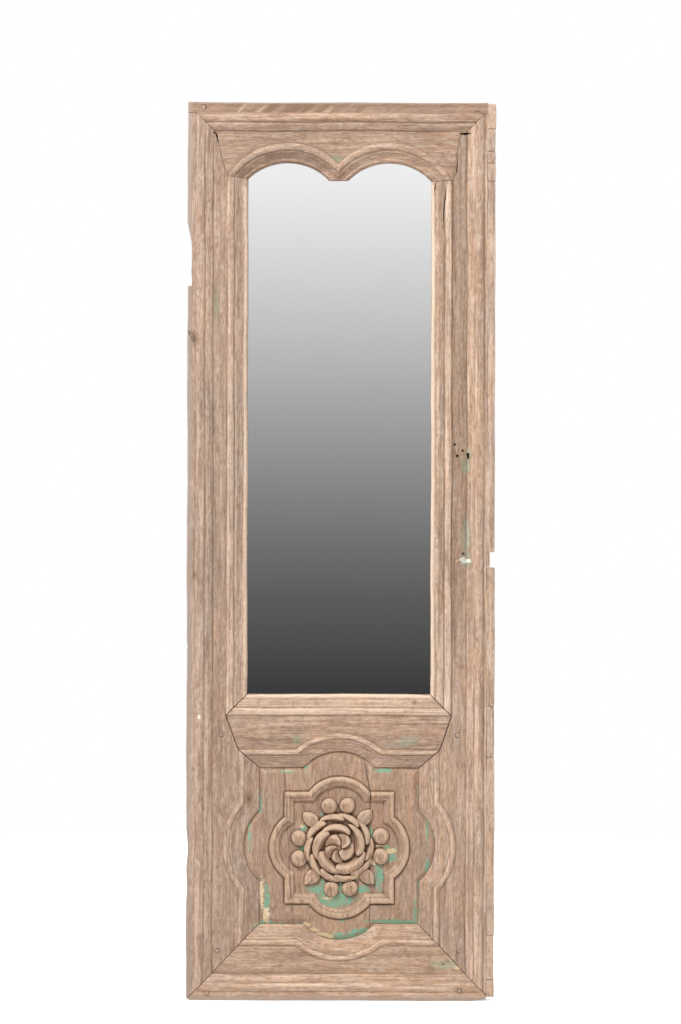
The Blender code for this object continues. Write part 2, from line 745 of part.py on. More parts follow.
def bud(x, level):
    bm = bmesh.new()
    rings = []
    for share, rise_share in ((1.0, BUD_FOOT_SHARE), *zip(BUD_RING_SHARES, BUD_RISE_SHARES)):
        ring = []
        for i in range(BUD_STEPS):
            angle = math.tau * (i + 0.5) / BUD_STEPS
            reach = share * BUD_RADIUS
            height = SUNK_THICKNESS + rise_share * BUD_RISE
            place = (x + reach * math.cos(angle), height, level + reach * math.sin(angle))
            ring.append(bm.verts.new(at(*place)))
        rings.append(ring)
    skin(bm, rings)
    bm.faces.new(rings[0])
    tip = bm.verts.new(at(x, SUNK_THICKNESS + BUD_RISE, level))
    for i in range(BUD_STEPS):
        bm.faces.new((rings[-1][i], rings[-1][(i + 1) % BUD_STEPS], tip))
    return to_object("bud", bm)


def pointed_leaf(x, level, angle):
    """A leaf whose tip points away from the rose, with a raised rib down its middle."""
    bm = bmesh.new()
    turn = math.radians(angle)
    out = Vector((math.cos(turn), math.sin(turn)))
    side = Vector((-out.y, out.x))
    shares = LEAF_OUTLINE_SHARES
    outline = [(a, -b) for a, b in shares] + [(a, b) for a, b in shares[-2::-1]]
    side_height = SUNK_THICKNESS + LEAF_RISE * LEAF_SIDE_SHARE
    rings = []
    for scale, height in ((1, ROSE_FOOT), (1, side_height), (LEAF_SIDE_SHARE, SUNK_THICKNESS + LEAF_RISE)):
        ring = []
        for a, b in outline:
            place = Vector((x, level)) + out * (a * LEAF_TIP * scale) + side * (b * LEAF_WIDTH * scale)
            ring.append(bm.verts.new(at(place.x, height, place.y)))
        rings.append(ring)
    skin(bm, rings)
    bm.faces.new(rings[0])
    bm.faces.new(rings[-1])
    bmesh.ops.triangulate(bm, faces=bm.faces)
    return to_object("leaf", bm)


def panel_blank():
    bm = bmesh.new()
    side = PANEL_HALF_WIDTH + GROOVE_REACH - FIT_GAP
    up = PANEL_HALF_HEIGHT + GROOVE_REACH - FIT_GAP
    back = GROOVE_BACK + FIT_GAP
    front = GROOVE_FRONT - FIT_GAP
    edge = lobed_loop(
        Vector((PANEL_CENTRE, PANEL_CENTRE_LEVEL)), side, up, PANEL_LOBE_HALF, PANEL_LOBE_RISE, 0, flat=True,
    )
    rings = [ring_at(bm, edge, back), ring_at(bm, edge, front), ring_at(bm, panel_loop(-FIT_GAP), front)]
    for share, thickness_share in QUATREFOIL_SHARES:
        points = quatrefoil_loop(-share * QUATREFOIL_WIDTH)
        rings.append(ring_at(bm, points, thickness_share * QUATREFOIL_THICKNESS))
    for vert in rings[3]:
        vert.co.y = -GROUND_THICKNESS
    for vert in rings[-1]:
        vert.co.y = -SUNK_THICKNESS
    skin(bm, rings)
    fill(bm, [rings[-1]])
    fill(bm, [rings[0]])
    return to_object("panel_blank", bm)


def carved_panel():
    blank = panel_blank()
    for whorl, inner, outer, crest, hollow, half_angle, angles in WHORLS:
        for angle in angles:
            combine(blank, petal(whorl, inner, outer, crest, hollow, half_angle, angle), "UNION")
    for across, up in BUD_SHARES:
        combine(blank, bud(*beside_rose(across, up)), "UNION")
    for across, up, angle in LEAF_SHARES:
        combine(blank, pointed_leaf(*beside_rose(across, up), angle), "UNION")
    return blank


def panel_boards():
    blank = carved_panel()
    high = PANEL_CENTRE_LEVEL + PANEL_HALF_HEIGHT + GROOVE_REACH
    low = PANEL_CENTRE_LEVEL - PANEL_HALF_HEIGHT - GROOVE_REACH
    over = high + CLEAR_OF_LEAF
    under = low - CLEAR_OF_LEAF
    far = PANEL_HALF_WIDTH + GROOVE_REACH + CLEAR_OF_LEAF
    left_crack = [
        (CRACK_LEFT_BOTTOM, under), (CRACK_LEFT_BOTTOM, low), (CRACK_LEFT_MIDDLE, CRACK_LEFT_LEVEL),
        (CRACK_LEFT_TOP, high), (CRACK_LEFT_TOP, over),
    ]
    right_crack = [
        (CRACK_RIGHT_BOTTOM, under), (CRACK_RIGHT_BOTTOM, low), (CRACK_RIGHT_MIDDLE, CRACK_RIGHT_LEVEL),
        (CRACK_RIGHT_TOP, high), (CRACK_RIGHT_TOP, over),
    ]
    outlines = (
        ("panel_board_left", [(-far, under)] + left_crack + [(-far, over)]),
        ("panel_board_middle", left_crack[::-1] + right_crack),
        ("panel_board_right", right_crack[::-1] + [(far, under), (far, over)]),
    )
    boards = []
    for name, outline in outlines:
        board = copy_of(blank, name)
        inside = grown(outline, -JOINT_GAP / 2)
        space = prism("board_space", inside, -CLEAR_OF_LEAF, LEAF_THICKNESS + CLEAR_OF_LEAF)
        combine(board, space, "INTERSECT")
        boards.append(board)
    bpy.data.objects.remove(blank, do_unlink=True)
    return boards


# Mirror glass, backing and glazing strips


def glazing(members):
    side = MIRROR_HALF_WIDTH + RABBET_WIDTH - FIT_GAP
    low = SILL_LEVEL - RABBET_WIDTH + FIT_GAP
    high = RABBET_HEAD_LEVEL - FIT_GAP
    glass_front = RABBET_DEPTH - FIT_GAP
    glass_back = glass_front - GLASS_THICKNESS
    board_front = glass_back - FIT_GAP
    board_back = board_front - BACKING_THICKNESS
    strip_front = board_back - FIT_GAP
    glass = box("mirror_glass", -side, side, glass_back, glass_front, low, high)
    backing = box("mirror_backing", -side, side, board_back, board_front, low, high)
    inner = side - STRIP_WIDTH
    strips = {
        "glazing_strip_left": (-side, -inner, low, high),
        "glazing_strip_right": (inner, side, low, high),
        "glazing_strip_bottom": (-inner + FIT_GAP, inner - FIT_GAP, low, low + STRIP_WIDTH),
        "glazing_strip_top": (-inner + FIT_GAP, inner - FIT_GAP, high - STRIP_WIDTH, high),
    }
    made = {name: box(name, s[0], s[1], 0, strip_front, s[2], s[3]) for name, s in strips.items()}
    by_name = {m.name: m for m in members}
    height = strip_front / 2
    pins = []
    runs = []
    for share in PIN_SHARES:
        level = low + (high - low) * share
        for sign, side_name in ((-1, "left"), (1, "right")):
            start = at(sign * (inner + PIN_START), height, level)
            strip = made[f"glazing_strip_{side_name}"]
            runs.append((start, Vector((sign, 0, 0)), strip, by_name[f"stile_{side_name}"]))
    up = Vector((0, 0, 1))
    start = at(0, height, high - STRIP_WIDTH + PIN_START)
    runs.append((start, up, made["glazing_strip_top"], by_name["top_rail"]))
    start = at(0, height, low + STRIP_WIDTH - PIN_START)
    runs.append((start, -up, made["glazing_strip_bottom"], by_name["mid_rail"]))
    for start, along, strip, member in runs:
        hole = rod(
            "pin_hole", start - along * CLEAR_OF_LEAF / 2, start + along * (PIN_LENGTH + FIT_GAP),
            PIN_RADIUS + FIT_GAP, PIN_SIDES,
        )
        combine(strip, hole, "DIFFERENCE", keep_tool=True)
        combine(member, hole, "DIFFERENCE")
        name = f"glazing_pin_{len(pins) + 1}"
        pins.append(rod(name, start, start + along * PIN_LENGTH, PIN_RADIUS, PIN_SIDES))
    return glass, backing, list(made.values()), pins


# Edge strips


def edge_strip(name, low, high):
    left = LEAF_RIGHT + FIT_GAP
    right = LEAF_RIGHT + EDGE_STRIP_WIDTH
    chamfer = EDGE_STRIP_CHAMFER
    section = (
        (left, 0), (right, 0), (right, EDGE_STRIP_THICKNESS - chamfer),
        (right - chamfer, EDGE_STRIP_THICKNESS),
        (left + chamfer, EDGE_STRIP_THICKNESS), (left, EDGE_STRIP_THICKNESS - chamfer),
    )
    bm = bmesh.new()
    rings = [[bm.verts.new(at(x, height, level)) for x, height in section] for level in (low, high)]
    skin(bm, rings)
    bm.faces.new(rings[0])
    bm.faces.new(rings[1])
    return to_object(name, bm)


def edge_strips(stile):
    levels = (EDGE_FOOT,) + EDGE_JOINTS + (LEAF_LEVEL - EDGE_TOP,)
    strips = []
    brads = []
    number = 0
    for low, high in zip(levels, levels[1:]):
        if low == NOTCH_JOINT:
            continue
        number += 1
        strip = edge_strip(f"edge_strip_{number:02d}", low + JOINT_GAP / 2, high - JOINT_GAP / 2)
        if number == 1:
            worn = prism("worn_foot", worn_outline(1), -CLEAR_OF_LEAF, LEAF_THICKNESS + CLEAR_OF_LEAF)
            combine(strip, worn, "DIFFERENCE")
        if high - low > BRAD_NEEDED:
            level = (low + high) / 2
            outside = LEAF_RIGHT + EDGE_STRIP_WIDTH
            start = at(outside - BRAD_SUNK, BRAD_THICKNESS, level)
            end = at(outside - BRAD_SUNK - BRAD_LENGTH, BRAD_THICKNESS, level)
            along = (end - start).normalized()
            hole = rod(
                "brad_hole", start - along * CLEAR_OF_LEAF, end + along * FIT_GAP, BRAD_RADIUS + FIT_GAP,
                PIN_SIDES,
            )
            combine(strip, hole, "DIFFERENCE", keep_tool=True)
            combine(stile, hole, "DIFFERENCE")
            brads.append(rod(f"edge_brad_{len(brads) + 1}", start, end, BRAD_RADIUS, PIN_SIDES))
        strips.append(strip)
    return strips, brads


# Hangers on the back


def hanger_ring(name, x):
    """A D-shaped wire ring. Its straight bar lies on the hinge line and is the object's origin."""
    half = RING_HALF_WIDTH
    corner = half * RING_CORNER_SHARE
    path = [Vector((-corner, 0, 0)), Vector((corner, 0, 0))]
    for i in range(RING_BEND_STEPS * 2 + 1):
        angle = math.pi * (i / RING_BEND_STEPS / 2)
        drop = RING_DROP * (1 - RING_BEND_SHARE * (1 - math.sin(angle)))
        path.append(Vector((half * math.cos(angle), 0, -drop)))
    bm = bmesh.new()
    rings = []
    count = len(path)
    for i, point in enumerate(path):
        before = (point - path[i - 1]).normalized()
        after = (path[(i + 1) % count] - point).normalized()
        direction = (before + after).normalized()
        stretch = 1 / max(direction.dot(before), RING_LEAST_STRETCH_SHARE)
        outward = Vector((direction.z, 0, -direction.x))
        ring = []
        for k in range(WIRE_SIDES):
            angle = math.tau * (k + 0.5) / WIRE_SIDES
            spot = point + outward * (math.cos(angle) * WIRE_RADIUS * stretch)
            ring.append(bm.verts.new(spot + Vector((0, math.sin(angle) * WIRE_RADIUS, 0))))
        rings.append(ring)
    skin(bm, rings + [rings[0]])
    ring = to_object(name, bm)
    ring.location = at(x, BAR_BACK, HANGER_LEVEL)
    return ring


def hanger(name, x, stile):
    pocket = box(
        "pocket", x - POCKET_HALF_WIDTH, x + POCKET_HALF_WIDTH, -CLEAR_OF_LEAF, POCKET_DEPTH,
        HANGER_LEVEL - POCKET_DROP, HANGER_LEVEL + POCKET_RISE,
    )
    combine(stile, pocket, "DIFFERENCE")
    plate_front = POCKET_DEPTH - FIT_GAP
    plate_back = plate_front - PLATE_THICKNESS
    plate = box(
        f"hanger_plate_{name}", x - PLATE_HALF_WIDTH, x + PLATE_HALF_WIDTH, plate_back, plate_front,
        HANGER_LEVEL - PLATE_DROP, HANGER_LEVEL,
    )
    reach = Vector((PLATE_HALF_WIDTH, 0, 0))
    centre = at(x, BAR_BACK, HANGER_LEVEL)
    eye = rod("eye", centre - reach, centre + reach, EYE_RADIUS, EYE_SIDES)
    combine(plate, eye, "UNION")
    past = Vector((CLEAR_OF_LEAF, 0, 0))
    bore = rod("bore", centre - past, centre + past, EYE_BORE_RADIUS, EYE_SIDES)
    combine(plate, bore, "DIFFERENCE")
    level = HANGER_LEVEL - SCREW_DROP
    head_front = plate_back - FIT_GAP
    head_back = head_front - SCREW_HEAD_THICKNESS
    tip = head_front + SCREW_LENGTH
    start = at(x, -CLEAR_OF_LEAF, level)
    hole = rod("screw_hole", start, at(x, tip + FIT_GAP, level), SCREW_RADIUS + FIT_GAP, PEG_SIDES)
    combine(plate, hole, "DIFFERENCE", keep_tool=True)
    combine(stile, hole, "DIFFERENCE")
    screw = rod(
        f"hanger_screw_{name}", at(x, head_back, level), at(x, head_front, level), SCREW_HEAD_RADIUS,
        PEG_SIDES,
    )
    neck = at(x, (head_back + head_front) / 2, level)
    shank = rod("shank", neck, at(x, tip, level), SCREW_RADIUS, PEG_SIDES)
    combine(screw, shank, "UNION")
    slot = box(
        "slot", x - CLEAR_OF_LEAF, x + CLEAR_OF_LEAF, -CLEAR_OF_LEAF,
        head_back + SCREW_SLOT_DEPTH, level - SCREW_SLOT_WIDTH / 2, level + SCREW_SLOT_WIDTH / 2,
    )
    combine(screw, slot, "DIFFERENCE")
    return plate, hanger_ring(f"hanger_ring_{name}", x), screw


def paint(obj, colour, roughness, metallic=0.0):
    material = bpy.data.materials.new(obj.name)
    material.use_nodes = True
    shader = material.node_tree.nodes["Principled BSDF"]
    shader.inputs["Base Color"].default_value = (*colour, 1)
    shader.inputs["Roughness"].default_value = roughness
    shader.inputs["Metallic"].default_value = metallic
    obj.data.materials.clear()
    obj.data.materials.append(material)


def build():
    clear_scene()
    members = rails_and_stiles()
    by_name = {m.name: m for m in members}
    left, right = by_name["stile_left"], by_name["stile_right"]
    cut_rabbet_and_groove(members)
    cut_hinge_recess(left)
    pegs = pegs_into(members)
    glass, backing, strips, pins = glazing(members)
    lipping, brads = edge_strips(right)
    boards = panel_boards()
    left_plate, left_ring, left_screw = hanger("left", HANGER_LEFT, left)
    right_plate, right_ring, right_screw = hanger("right", HANGER_RIGHT, right)
    for obj in members + boards:
        tidy(obj)
        paint(obj, WOOD, ROUGH_WOOD)
    for obj in lipping:
        paint(obj, PALE_PATCH if obj.name == "edge_strip_04" else WOOD_PALE, ROUGH_WOOD)
    for obj in pegs:
        paint(obj, PEG_WOOD, ROUGH_WOOD)
    paint(glass, SILVER, SMOOTH_GLASS, 1.0)
    paint(backing, PLY, ROUGH_WOOD)
    for obj in strips:
        paint(obj, PLY, ROUGH_WOOD)
    for obj in (*pins, *brads, left_plate, right_plate, left_ring, right_ring, left_screw, right_screw):
        paint(obj, STEEL, ROUGH_STEEL, 1.0)
    for mesh in list(bpy.data.meshes):
        if not mesh.users:
            bpy.data.meshes.remove(mesh)


build()
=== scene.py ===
"""Dresses an old carved door leaf made into a mirror: washed teak, rose panel, glass, hangers and stage."""

import math

import bmesh
import bpy
import numpy as np
from mathutils import Matrix, Vector, kdtree


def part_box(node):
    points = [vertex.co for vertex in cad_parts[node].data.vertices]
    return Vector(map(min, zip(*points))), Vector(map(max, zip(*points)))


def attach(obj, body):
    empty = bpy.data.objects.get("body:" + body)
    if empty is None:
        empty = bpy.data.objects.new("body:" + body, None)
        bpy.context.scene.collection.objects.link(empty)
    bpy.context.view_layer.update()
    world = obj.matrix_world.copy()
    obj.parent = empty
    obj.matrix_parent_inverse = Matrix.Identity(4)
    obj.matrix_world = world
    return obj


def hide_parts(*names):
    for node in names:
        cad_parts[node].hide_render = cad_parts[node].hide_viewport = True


bl_info = {
    "name": "Door Leaf Mirror",
    "version": (1, 0, 0),
    "blender": (4, 5, 0),
    "location": "View3D > Sidebar > Leaf",
    "description": "Carves and finishes the door leaf mirror round its packed frame",
    "category": "Object",
}

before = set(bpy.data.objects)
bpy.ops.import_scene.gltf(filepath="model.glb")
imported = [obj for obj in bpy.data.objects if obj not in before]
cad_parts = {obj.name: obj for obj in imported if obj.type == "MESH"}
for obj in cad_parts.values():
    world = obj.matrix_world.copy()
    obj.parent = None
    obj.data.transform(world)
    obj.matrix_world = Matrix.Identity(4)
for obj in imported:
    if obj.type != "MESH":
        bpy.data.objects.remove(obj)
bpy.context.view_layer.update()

# Leaf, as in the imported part. Levels are metres above its foot, heights are metres forward of its back
ORIGIN_LEVEL = 1.745
LEAF_LEFT, LEAF_RIGHT, LEAF_LEVEL = 0.304, 0.2955, 1.795
LEAF_THICKNESS, FIELD_THICKNESS, BAND_THICKNESS = 0.045, 0.032, 0.040
BAND_LEFT, BAND_RIGHT, BAND_TOP, BAND_BOTTOM = 0.016, 0.0055, 0.021, 0.0175
BORDER_WIDTH = 0.0355
BORDER_SHARES = (
    (0.0, 0.889), (0.03, 0.915), (0.09, 0.955), (0.17, 0.985), (0.28, 1.0), (0.39, 0.985), (0.47, 0.950),
    (0.515, 0.910), (0.545, 0.884), (0.58, 0.884), (0.65, 0.880), (0.75, 0.850), (0.85, 0.805), (0.92, 0.775),
    (0.965, 0.745), (1.0, 0.7111),
)
MIRROR_HALF_WIDTH, SILL_LEVEL = 0.184, 0.611
ARCH_SPACING, ARCH_SHIFT = 0.102, -0.0024
ARCH_INNER, ARCH_OUTER = (0.1147, 1.5618), (0.1429, 1.5736)
CUSP_CUT_LEVEL, CUSP_CUT_HALF, CUSP_CUT_DROP = 1.6418, 0.034, 0.06
MOULDING_WIDTH, MOULDING_THICKNESS = 0.042, 0.0365
MIRROR_SHARES = (
    (1.0, 0.877), (0.975, 0.900), (0.935, 0.955), (0.88, 0.99), (0.80, 1.0), (0.72, 0.975), (0.655, 0.925),
    (0.62, 0.878), (0.595, 0.876), (0.55, 0.895), (0.45, 0.862), (0.33, 0.818), (0.23, 0.788), (0.19, 0.790),
    (0.15, 0.815), (0.10, 0.818), (0.05, 0.785), (0.02, 0.735), (0.0, 0.658),
)
PANEL_CENTRE, PANEL_CENTRE_LEVEL = 0.0015, 0.308
PANEL_HALF_WIDTH, PANEL_HALF_HEIGHT = 0.160, 0.157
PANEL_LOBE_HALF, PANEL_LOBE_RISE = 0.0715, 0.032
PANEL_TOP_REACH = 0.88
PANEL_SHARES = (
    (1.0, 0.877), (0.975, 0.900), (0.935, 0.950), (0.87, 0.99), (0.80, 1.0), (0.735, 0.965), (0.70, 0.920),
    (0.68, 0.895), (0.65, 0.900), (0.60, 0.890), (0.565, 0.858), (0.53, 0.845), (0.40, 0.795), (0.25, 0.745),
    (0.12, 0.71), (0.04, 0.69), (0.0, 0.655),
)

# Joints, gaps and worn places of the frame
LOBE_JOINT_THICKNESS, TONGUE_BACK, TONGUE_FRONT = 0.025, 0.014, 0.026
BODY_STEP = 0.00005
TOP_SHOULDER, LOW_SHOULDER = 0.200, 0.165
TOP_TONGUE_LEVEL, MID_TONGUE_LOW, MID_TONGUE_HIGH, BOTTOM_TONGUE_LEVEL = 1.700, 0.512, 0.598, 0.124
MITRE_REACH, OPENING_REACH = 0.07, 0.01
KINK_DROP, KINK_LEFT, KINK_RIGHT = 0.009, 0.0055, 0.0155
CLEAR = 0.02
ABOVE = 0.06
EDGE_ROUND = 0.0016
BAND_MARGIN, BAND_EDGE_RELIEF, BEAD_INSET = 0.0014, -0.2, 0.0005
# Lines round the outer edge of the leaf: inset, height and relief
EDGE_LINES = (
    (0.0, 0.0, 0.0), (0.0, EDGE_ROUND, 0.4), (0.0, BAND_THICKNESS - EDGE_ROUND, 0.7),
    (EDGE_ROUND * 0.3, BAND_THICKNESS - EDGE_ROUND * 0.3, 0.7), (EDGE_ROUND, BAND_THICKNESS, 0.4),
    (EDGE_ROUND * 2.1, BAND_THICKNESS, 0.0),
)
# Relief of the rubbed edge and of the slopes that get painted shade, how far each slope goes towards that
# painted shade, and the painted light that makes the sill moulding and the stiles' mouldings paler
RUBBED_WIDTH, RUBBED, SHADED = 0.0072, 0.52, -0.42
ARCH_PAINTED_SHADE, PANEL_PAINTED_SHADE, PANEL_SLOPE_SHARE = 0.4, 0.85, 0.5
SILL_PAINTED_LIGHT, RIGHT_PAINTED_LIGHT, LEFT_PAINTED_LIGHT = 0.3, 0.17, 0.06
# How near a line of a moulding a point takes its relief, and how that relief is measured
MARK_REACH, NEARBY, RELIEF_FULL = 0.0032, 0.0026, 0.0011
ARCH_FOOT, ARCH_FOOT_BLEND, ARCH_SLOPE, ARCH_SLOPE_SHARE = -0.11, 0.004, 0.0055, 0.6
# Points of the frame above this height but below the field, away from the moulding lines, get painted shade,
# such as the floors of holes and cracks
DEEP_BELOW = 0.015
FIELD_REACH = 0.003
RUN_STEP = 0.010
ARCH_STEPS, LOBE_STEPS = 44, 26
HINGE_HIGH, HINGE_LOW, HINGE_DEPTH = 1.553, 1.427, 0.008
# Floor of the hinge recess: share of its depth and level
HINGE_FLOOR = (
    (1.0, HINGE_LOW), (1.05, HINGE_LOW + 0.012), (0.88, HINGE_LOW + 0.030), (1.0, HINGE_LOW + 0.058),
    (0.92, HINGE_HIGH - 0.040), (0.45, HINGE_HIGH - 0.018), (0.20, HINGE_HIGH - 0.005),
)
WORN_FOOT = {1: (0.060, 0.008), -1: (0.012, 0.004)}
WORN_SHARES = ((0.0, 1.0), (0.1, 0.75), (0.3, 0.4), (0.6, 0.12), (1.0, -0.1))
RABBET_WIDTH, RABBET_HEAD_LEVEL, RABBET_DEPTH = 0.010, 1.690, 0.014
GROOVE_BACK, GROOVE_FRONT, GROOVE_REACH = 0.008, 0.020, 0.042
FIT_GAP = 0.0003
HANGER_LEVEL, HANGER_PLACES = 1.500, {"left": -0.2500, "right": 0.2460}
POCKET = (0.0165, 0.046, 0.027, 0.007)
RING_HALF, RING_DROP, RING_WIRE, RING_BAR = 0.0115, 0.0215, 0.0019, 0.003
RING_STEPS, RING_SIDES = 24, 14
# Waves of the planed faces and of the gouge: share, then how fast each runs across and up, and its phase
SIDEWAYS_WAVES = ((0.9, 0, 17, 0.6), (0.4, 0, 53, 2.0), (0.15, 0, 131, 0.0))
UPWARD_WAVES = ((0.8, 19, 0, 1.1), (0.3, 61, 0, 0.4), (0.10, 149, 0, 0.0))
FORWARD_WAVES = ((0.5, 9, 23, 0.0), (0.3, -31, 71, 0.0), (0.2, 167, 0, 0.0))
GOUGE_WAVES = ((0.4, 61, 23, 0.0), (0.3, -47, 88, 1.3), (0.2, 170, 120, 0.5), (0.2, 260, -90, 2.1))
WAVY_HEIGHT, WAVY_BLEND = 0.0215, 0.003

# Pegs. A head stands proud of its wood, or a little sunk where the wood is the high border
PEG_RADIUS, PEG_SIDES, PEG_ROUND, PEG_FACET = 0.0055, 24, 0.965, 0.035
PEG_PROUD, PEG_SUNK, PEG_SUNK_ABOVE, PEG_START = 0.0004, 0.0002, 0.0405, 0.0005
# X, level, height of the wood round the head, and the rail that each one pins
PEGS = (
    (-0.2727, 1.7845, 0.040, "top_rail"), (-0.2334, 0.531, 0.032, "mid_rail"),
    (0.2386, 0.531, 0.032, "mid_rail"), (-0.2416, 0.0988, 0.032, "bottom_rail"),
    (0.2416, 0.0988, 0.032, "bottom_rail"), (-0.262, 0.014, 0.041, "bottom_rail"),
    (0.2423, 0.0216, 0.043, "bottom_rail"),
)
# A peg's profile: shares of its length and radius
PEG_LINES = ((0.0, 1.0), (0.94, 1.0), (0.975, 0.96), (0.99, 0.86), (1.0, 0.62))
# Nail holes in the right stile and the rails: X, level, radius
NAIL_HOLES = (
    (0.2304, 1.1126, 0.0027), (0.2465, 1.1004, 0.0026), (0.2353, 1.0896, 0.0029), (0.2570, 1.0925, 0.0034),
    (0.2574, 1.0878, 0.0028), (0.2577, 1.0842, 0.0018), (0.2488, 0.8942, 0.0025), (0.2108, 0.0723, 0.0018),
    (-0.2154, 1.6516, 0.0015),
)
NAIL_HOLE_FLOOR, NAIL_HOLE_SIDES = 0.022, 9
# Cracks: the points that each runs through, its greatest width and the height of its floor
CRACKS = (
    (((0.2137, 1.6412), (0.2117, 1.6112), (0.2078, 1.5771), (0.2059, 1.5411)), 0.0030, 0.022),
    (((0.1937, 1.6411), (0.1907, 1.6291), (0.1877, 1.6150)), 0.0022, 0.020),
    (((-0.3046, 1.3440), (-0.2975, 1.3278), (-0.2890, 1.3118)), 0.0034, 0.034),
    (((-0.2990, 1.3390), (-0.2925, 1.3300), (-0.2890, 1.3225)), 0.0022, 0.036),
    (((0.2370, 1.7350), (0.2400, 1.7347), (0.2450, 1.7345), (0.2530, 1.7342), (0.2580, 1.7348),
      (0.2615, 1.7362)), 0.0060, 0.020),
    (((0.2310, 1.6470), (0.2342, 1.6650), (0.2367, 1.6880)), 0.0026, 0.022),
    (((-0.2560, 1.7366), (-0.2515, 1.7355), (-0.2475, 1.7305), (-0.2452, 1.7212), (-0.2442, 1.7140)),
     0.0042, 0.020),
    (((0.2850, 0.9700), (0.2856, 0.9613), (0.2850, 0.9540)), 0.0022, 0.041),
    (((-0.1290, 0.4600), (-0.1285, 0.4300), (-0.1300, 0.4000)), 0.0010, 0.018),
    (((0.2700, 1.7770), (0.2745, 1.7785), (0.2790, 1.7765)), 0.0016, 0.036),
)
# Bites out of the left edge: low level, high level, depth
BITES = ((0.266, 0.334, 0.0026), (0.196, 0.262, 0.0014), (0.700, 0.716, 0.0012))

# Carved panel
PANEL_CENTRE_SHIFT, ROSE_LEVEL = 0.0005, 0.304
GROUND_THICKNESS, GROUND_EDGE_THICKNESS, SUNK_THICKNESS = 0.025, 0.0214, 0.0205
GROUND_BEVEL = 0.0115
QUATREFOIL_HALF = (0.111, 0.113)
QUATREFOIL_LOBE_HALF, QUATREFOIL_LOBE_RISE = 0.0615, 0.0305
QUATREFOIL_WIDTH, QUATREFOIL_THICKNESS = 0.0225, 0.0305
QUATREFOIL_SHARES = (
    (0.0, 0.77), (0.025, 0.80), (0.07, 0.91), (0.16, 0.985), (0.28, 1.0), (0.42, 0.985), (0.53, 0.945),
    (0.585, 0.895), (0.61, 0.872), (0.66, 0.882), (0.74, 0.868), (0.86, 0.79), (0.95, 0.715), (1.0, 0.68),
)
# Flutes behind the top of the rose: levels over which they begin, middle, reach, depth and closeness
FLUTE_LEVELS, FLUTE_MIDDLE, FLUTE_REACH, FLUTE_DEPTH, FLUTE_TURNS = (0.386, 0.412), 0.002, 0.06, 0.0007, 430
# Unevenness that the gouge left, and the quirk round the quatrefoil
MOULDING_WANDER, BEVEL_TOOLING, GROUND_TOOLING = 0.0004, 0.0015, 0.0004
SUNK_TOOLING, CREST_TOOLING = 0.0005, 0.0003
QUIRK_DEPTH, QUIRK_MIDDLE, QUIRK_REACH = 0.0016, 0.0006, 0.0009
# Relief of the carving, and the dirt and painted shade in its hollows: points that a height is measured
# against, depth that counts in full, share
RELIEFS, DEEP_DIRT_AND_SHADE = ((3, 0.0014, 0.65), (9, 0.0050, 0.85)), (7, 0.0054)
# Painted shadow beside the frame, and painted shade on the sunk ground and in the joint with the frame:
# share, then its reach or the height above the sunk ground that it reaches
FRAME_SHADOW, GROUND_SHADE, JOINT_SHADE = (0.52, 0.013), (0.36, 0.002), (0.75, 0.0011)
# Paint left along the joint with the frame: share and reach, more of it below a level and right of a place
JOINT_PAINT, LOW_PAINT, RIGHT_PAINT = (0.45, 0.0035), (0.35, 0.24), (0.15, 0.12)
RAISED_PAINT_LOST, RAISED_HEIGHTS = 0.8, (SUNK_THICKNESS + 0.0015, SUNK_THICKNESS + 0.0045)
# Cracks between the boards: the points of each, its width at a few levels in tenths of a millimetre, and how
# far its sides slant so that no light shows through it
PANEL_CRACKS = {
    "left": ((-0.111, 0.507), (-0.0967, 0.253), (-0.086, 0.109)),
    "right": ((0.047, 0.507), (0.0643, 0.412), (0.0635, 0.109)),
}
CRACK_LEVELS = (0.10, 0.20, 0.30, 0.395, 0.402, 0.414, 0.422, 0.51)
CRACK_WIDTHS = {"left": (6, 8, 9, 11, 12, 12, 11, 6), "right": (10, 10, 7, 9, 30, 26, 13, 9)}
CRACK_SLANT = 0.004
ROSE_RADIUS, ROSE_THICKNESS = 0.0695, 0.040
PETAL_ACROSS = (0.0, 0.12, 0.28, 0.42, 0.55, 0.70, 0.86, 1.0)
PETAL_RISE = (0.0, 0.20, 0.72, 0.98, 1.0, 0.92, 0.76, 0.52)
PETAL_SKEW, PETAL_TAPER, PETAL_SINK, PETAL_END_DROP = 0.22, 0.38, 0.038, 0.05
ROSE_BASE_REACH, ROSE_BASE_SHARE = 0.90, 0.61
# Whorls of the rose from the outside in: how far its petals wind inward, height of their rims and hollows,
# then for each petal its bearing, distance from the middle, half angle and half width
WHORLS = (
    (0.066, 0.825, 0.58, (
        (103, 0.890, 23, 0.110), (70, 0.875, 23, 0.115), (31, 0.865, 24, 0.125), (-4, 0.885, 22, 0.110),
        (-41, 0.885, 26, 0.120), (-78, 0.872, 23, 0.125), (-110, 0.865, 21, 0.125), (-144, 0.868, 23, 0.120),
        (-178, 0.895, 23, 0.120), (143, 0.875, 25, 0.130),
    )),
    (0.082, 0.935, 0.68, (
        (98, 0.585, 45, 0.115), (24, 0.632, 46, 0.135), (-54, 0.642, 47, 0.165), (-127, 0.600, 43, 0.150),
        (166, 0.618, 43, 0.150),
    )),
)
HEART_REACH, HEART_LOW, HEART_SWIRL = 0.445, 0.76, 105.0
HEART_ENDS = (97, 27, -72, -128, -186)
HEART_ACROSS, HEART_RISE = (0, 0.26, 0.42, 0.70, 0.88, 1.0), (0.88, 0.94, 0.96, 0.95, 0.91, 0.80)
HEART_EYE, HEART_EYE_SHARE, HEART_SCALLOP = 0.085, 0.74, 0.055
BUD_RADIUS, BUD_RISE, BUD_FOOT, BUD_TOOLING = 0.0164, 0.0100, 0.0012, 0.0009
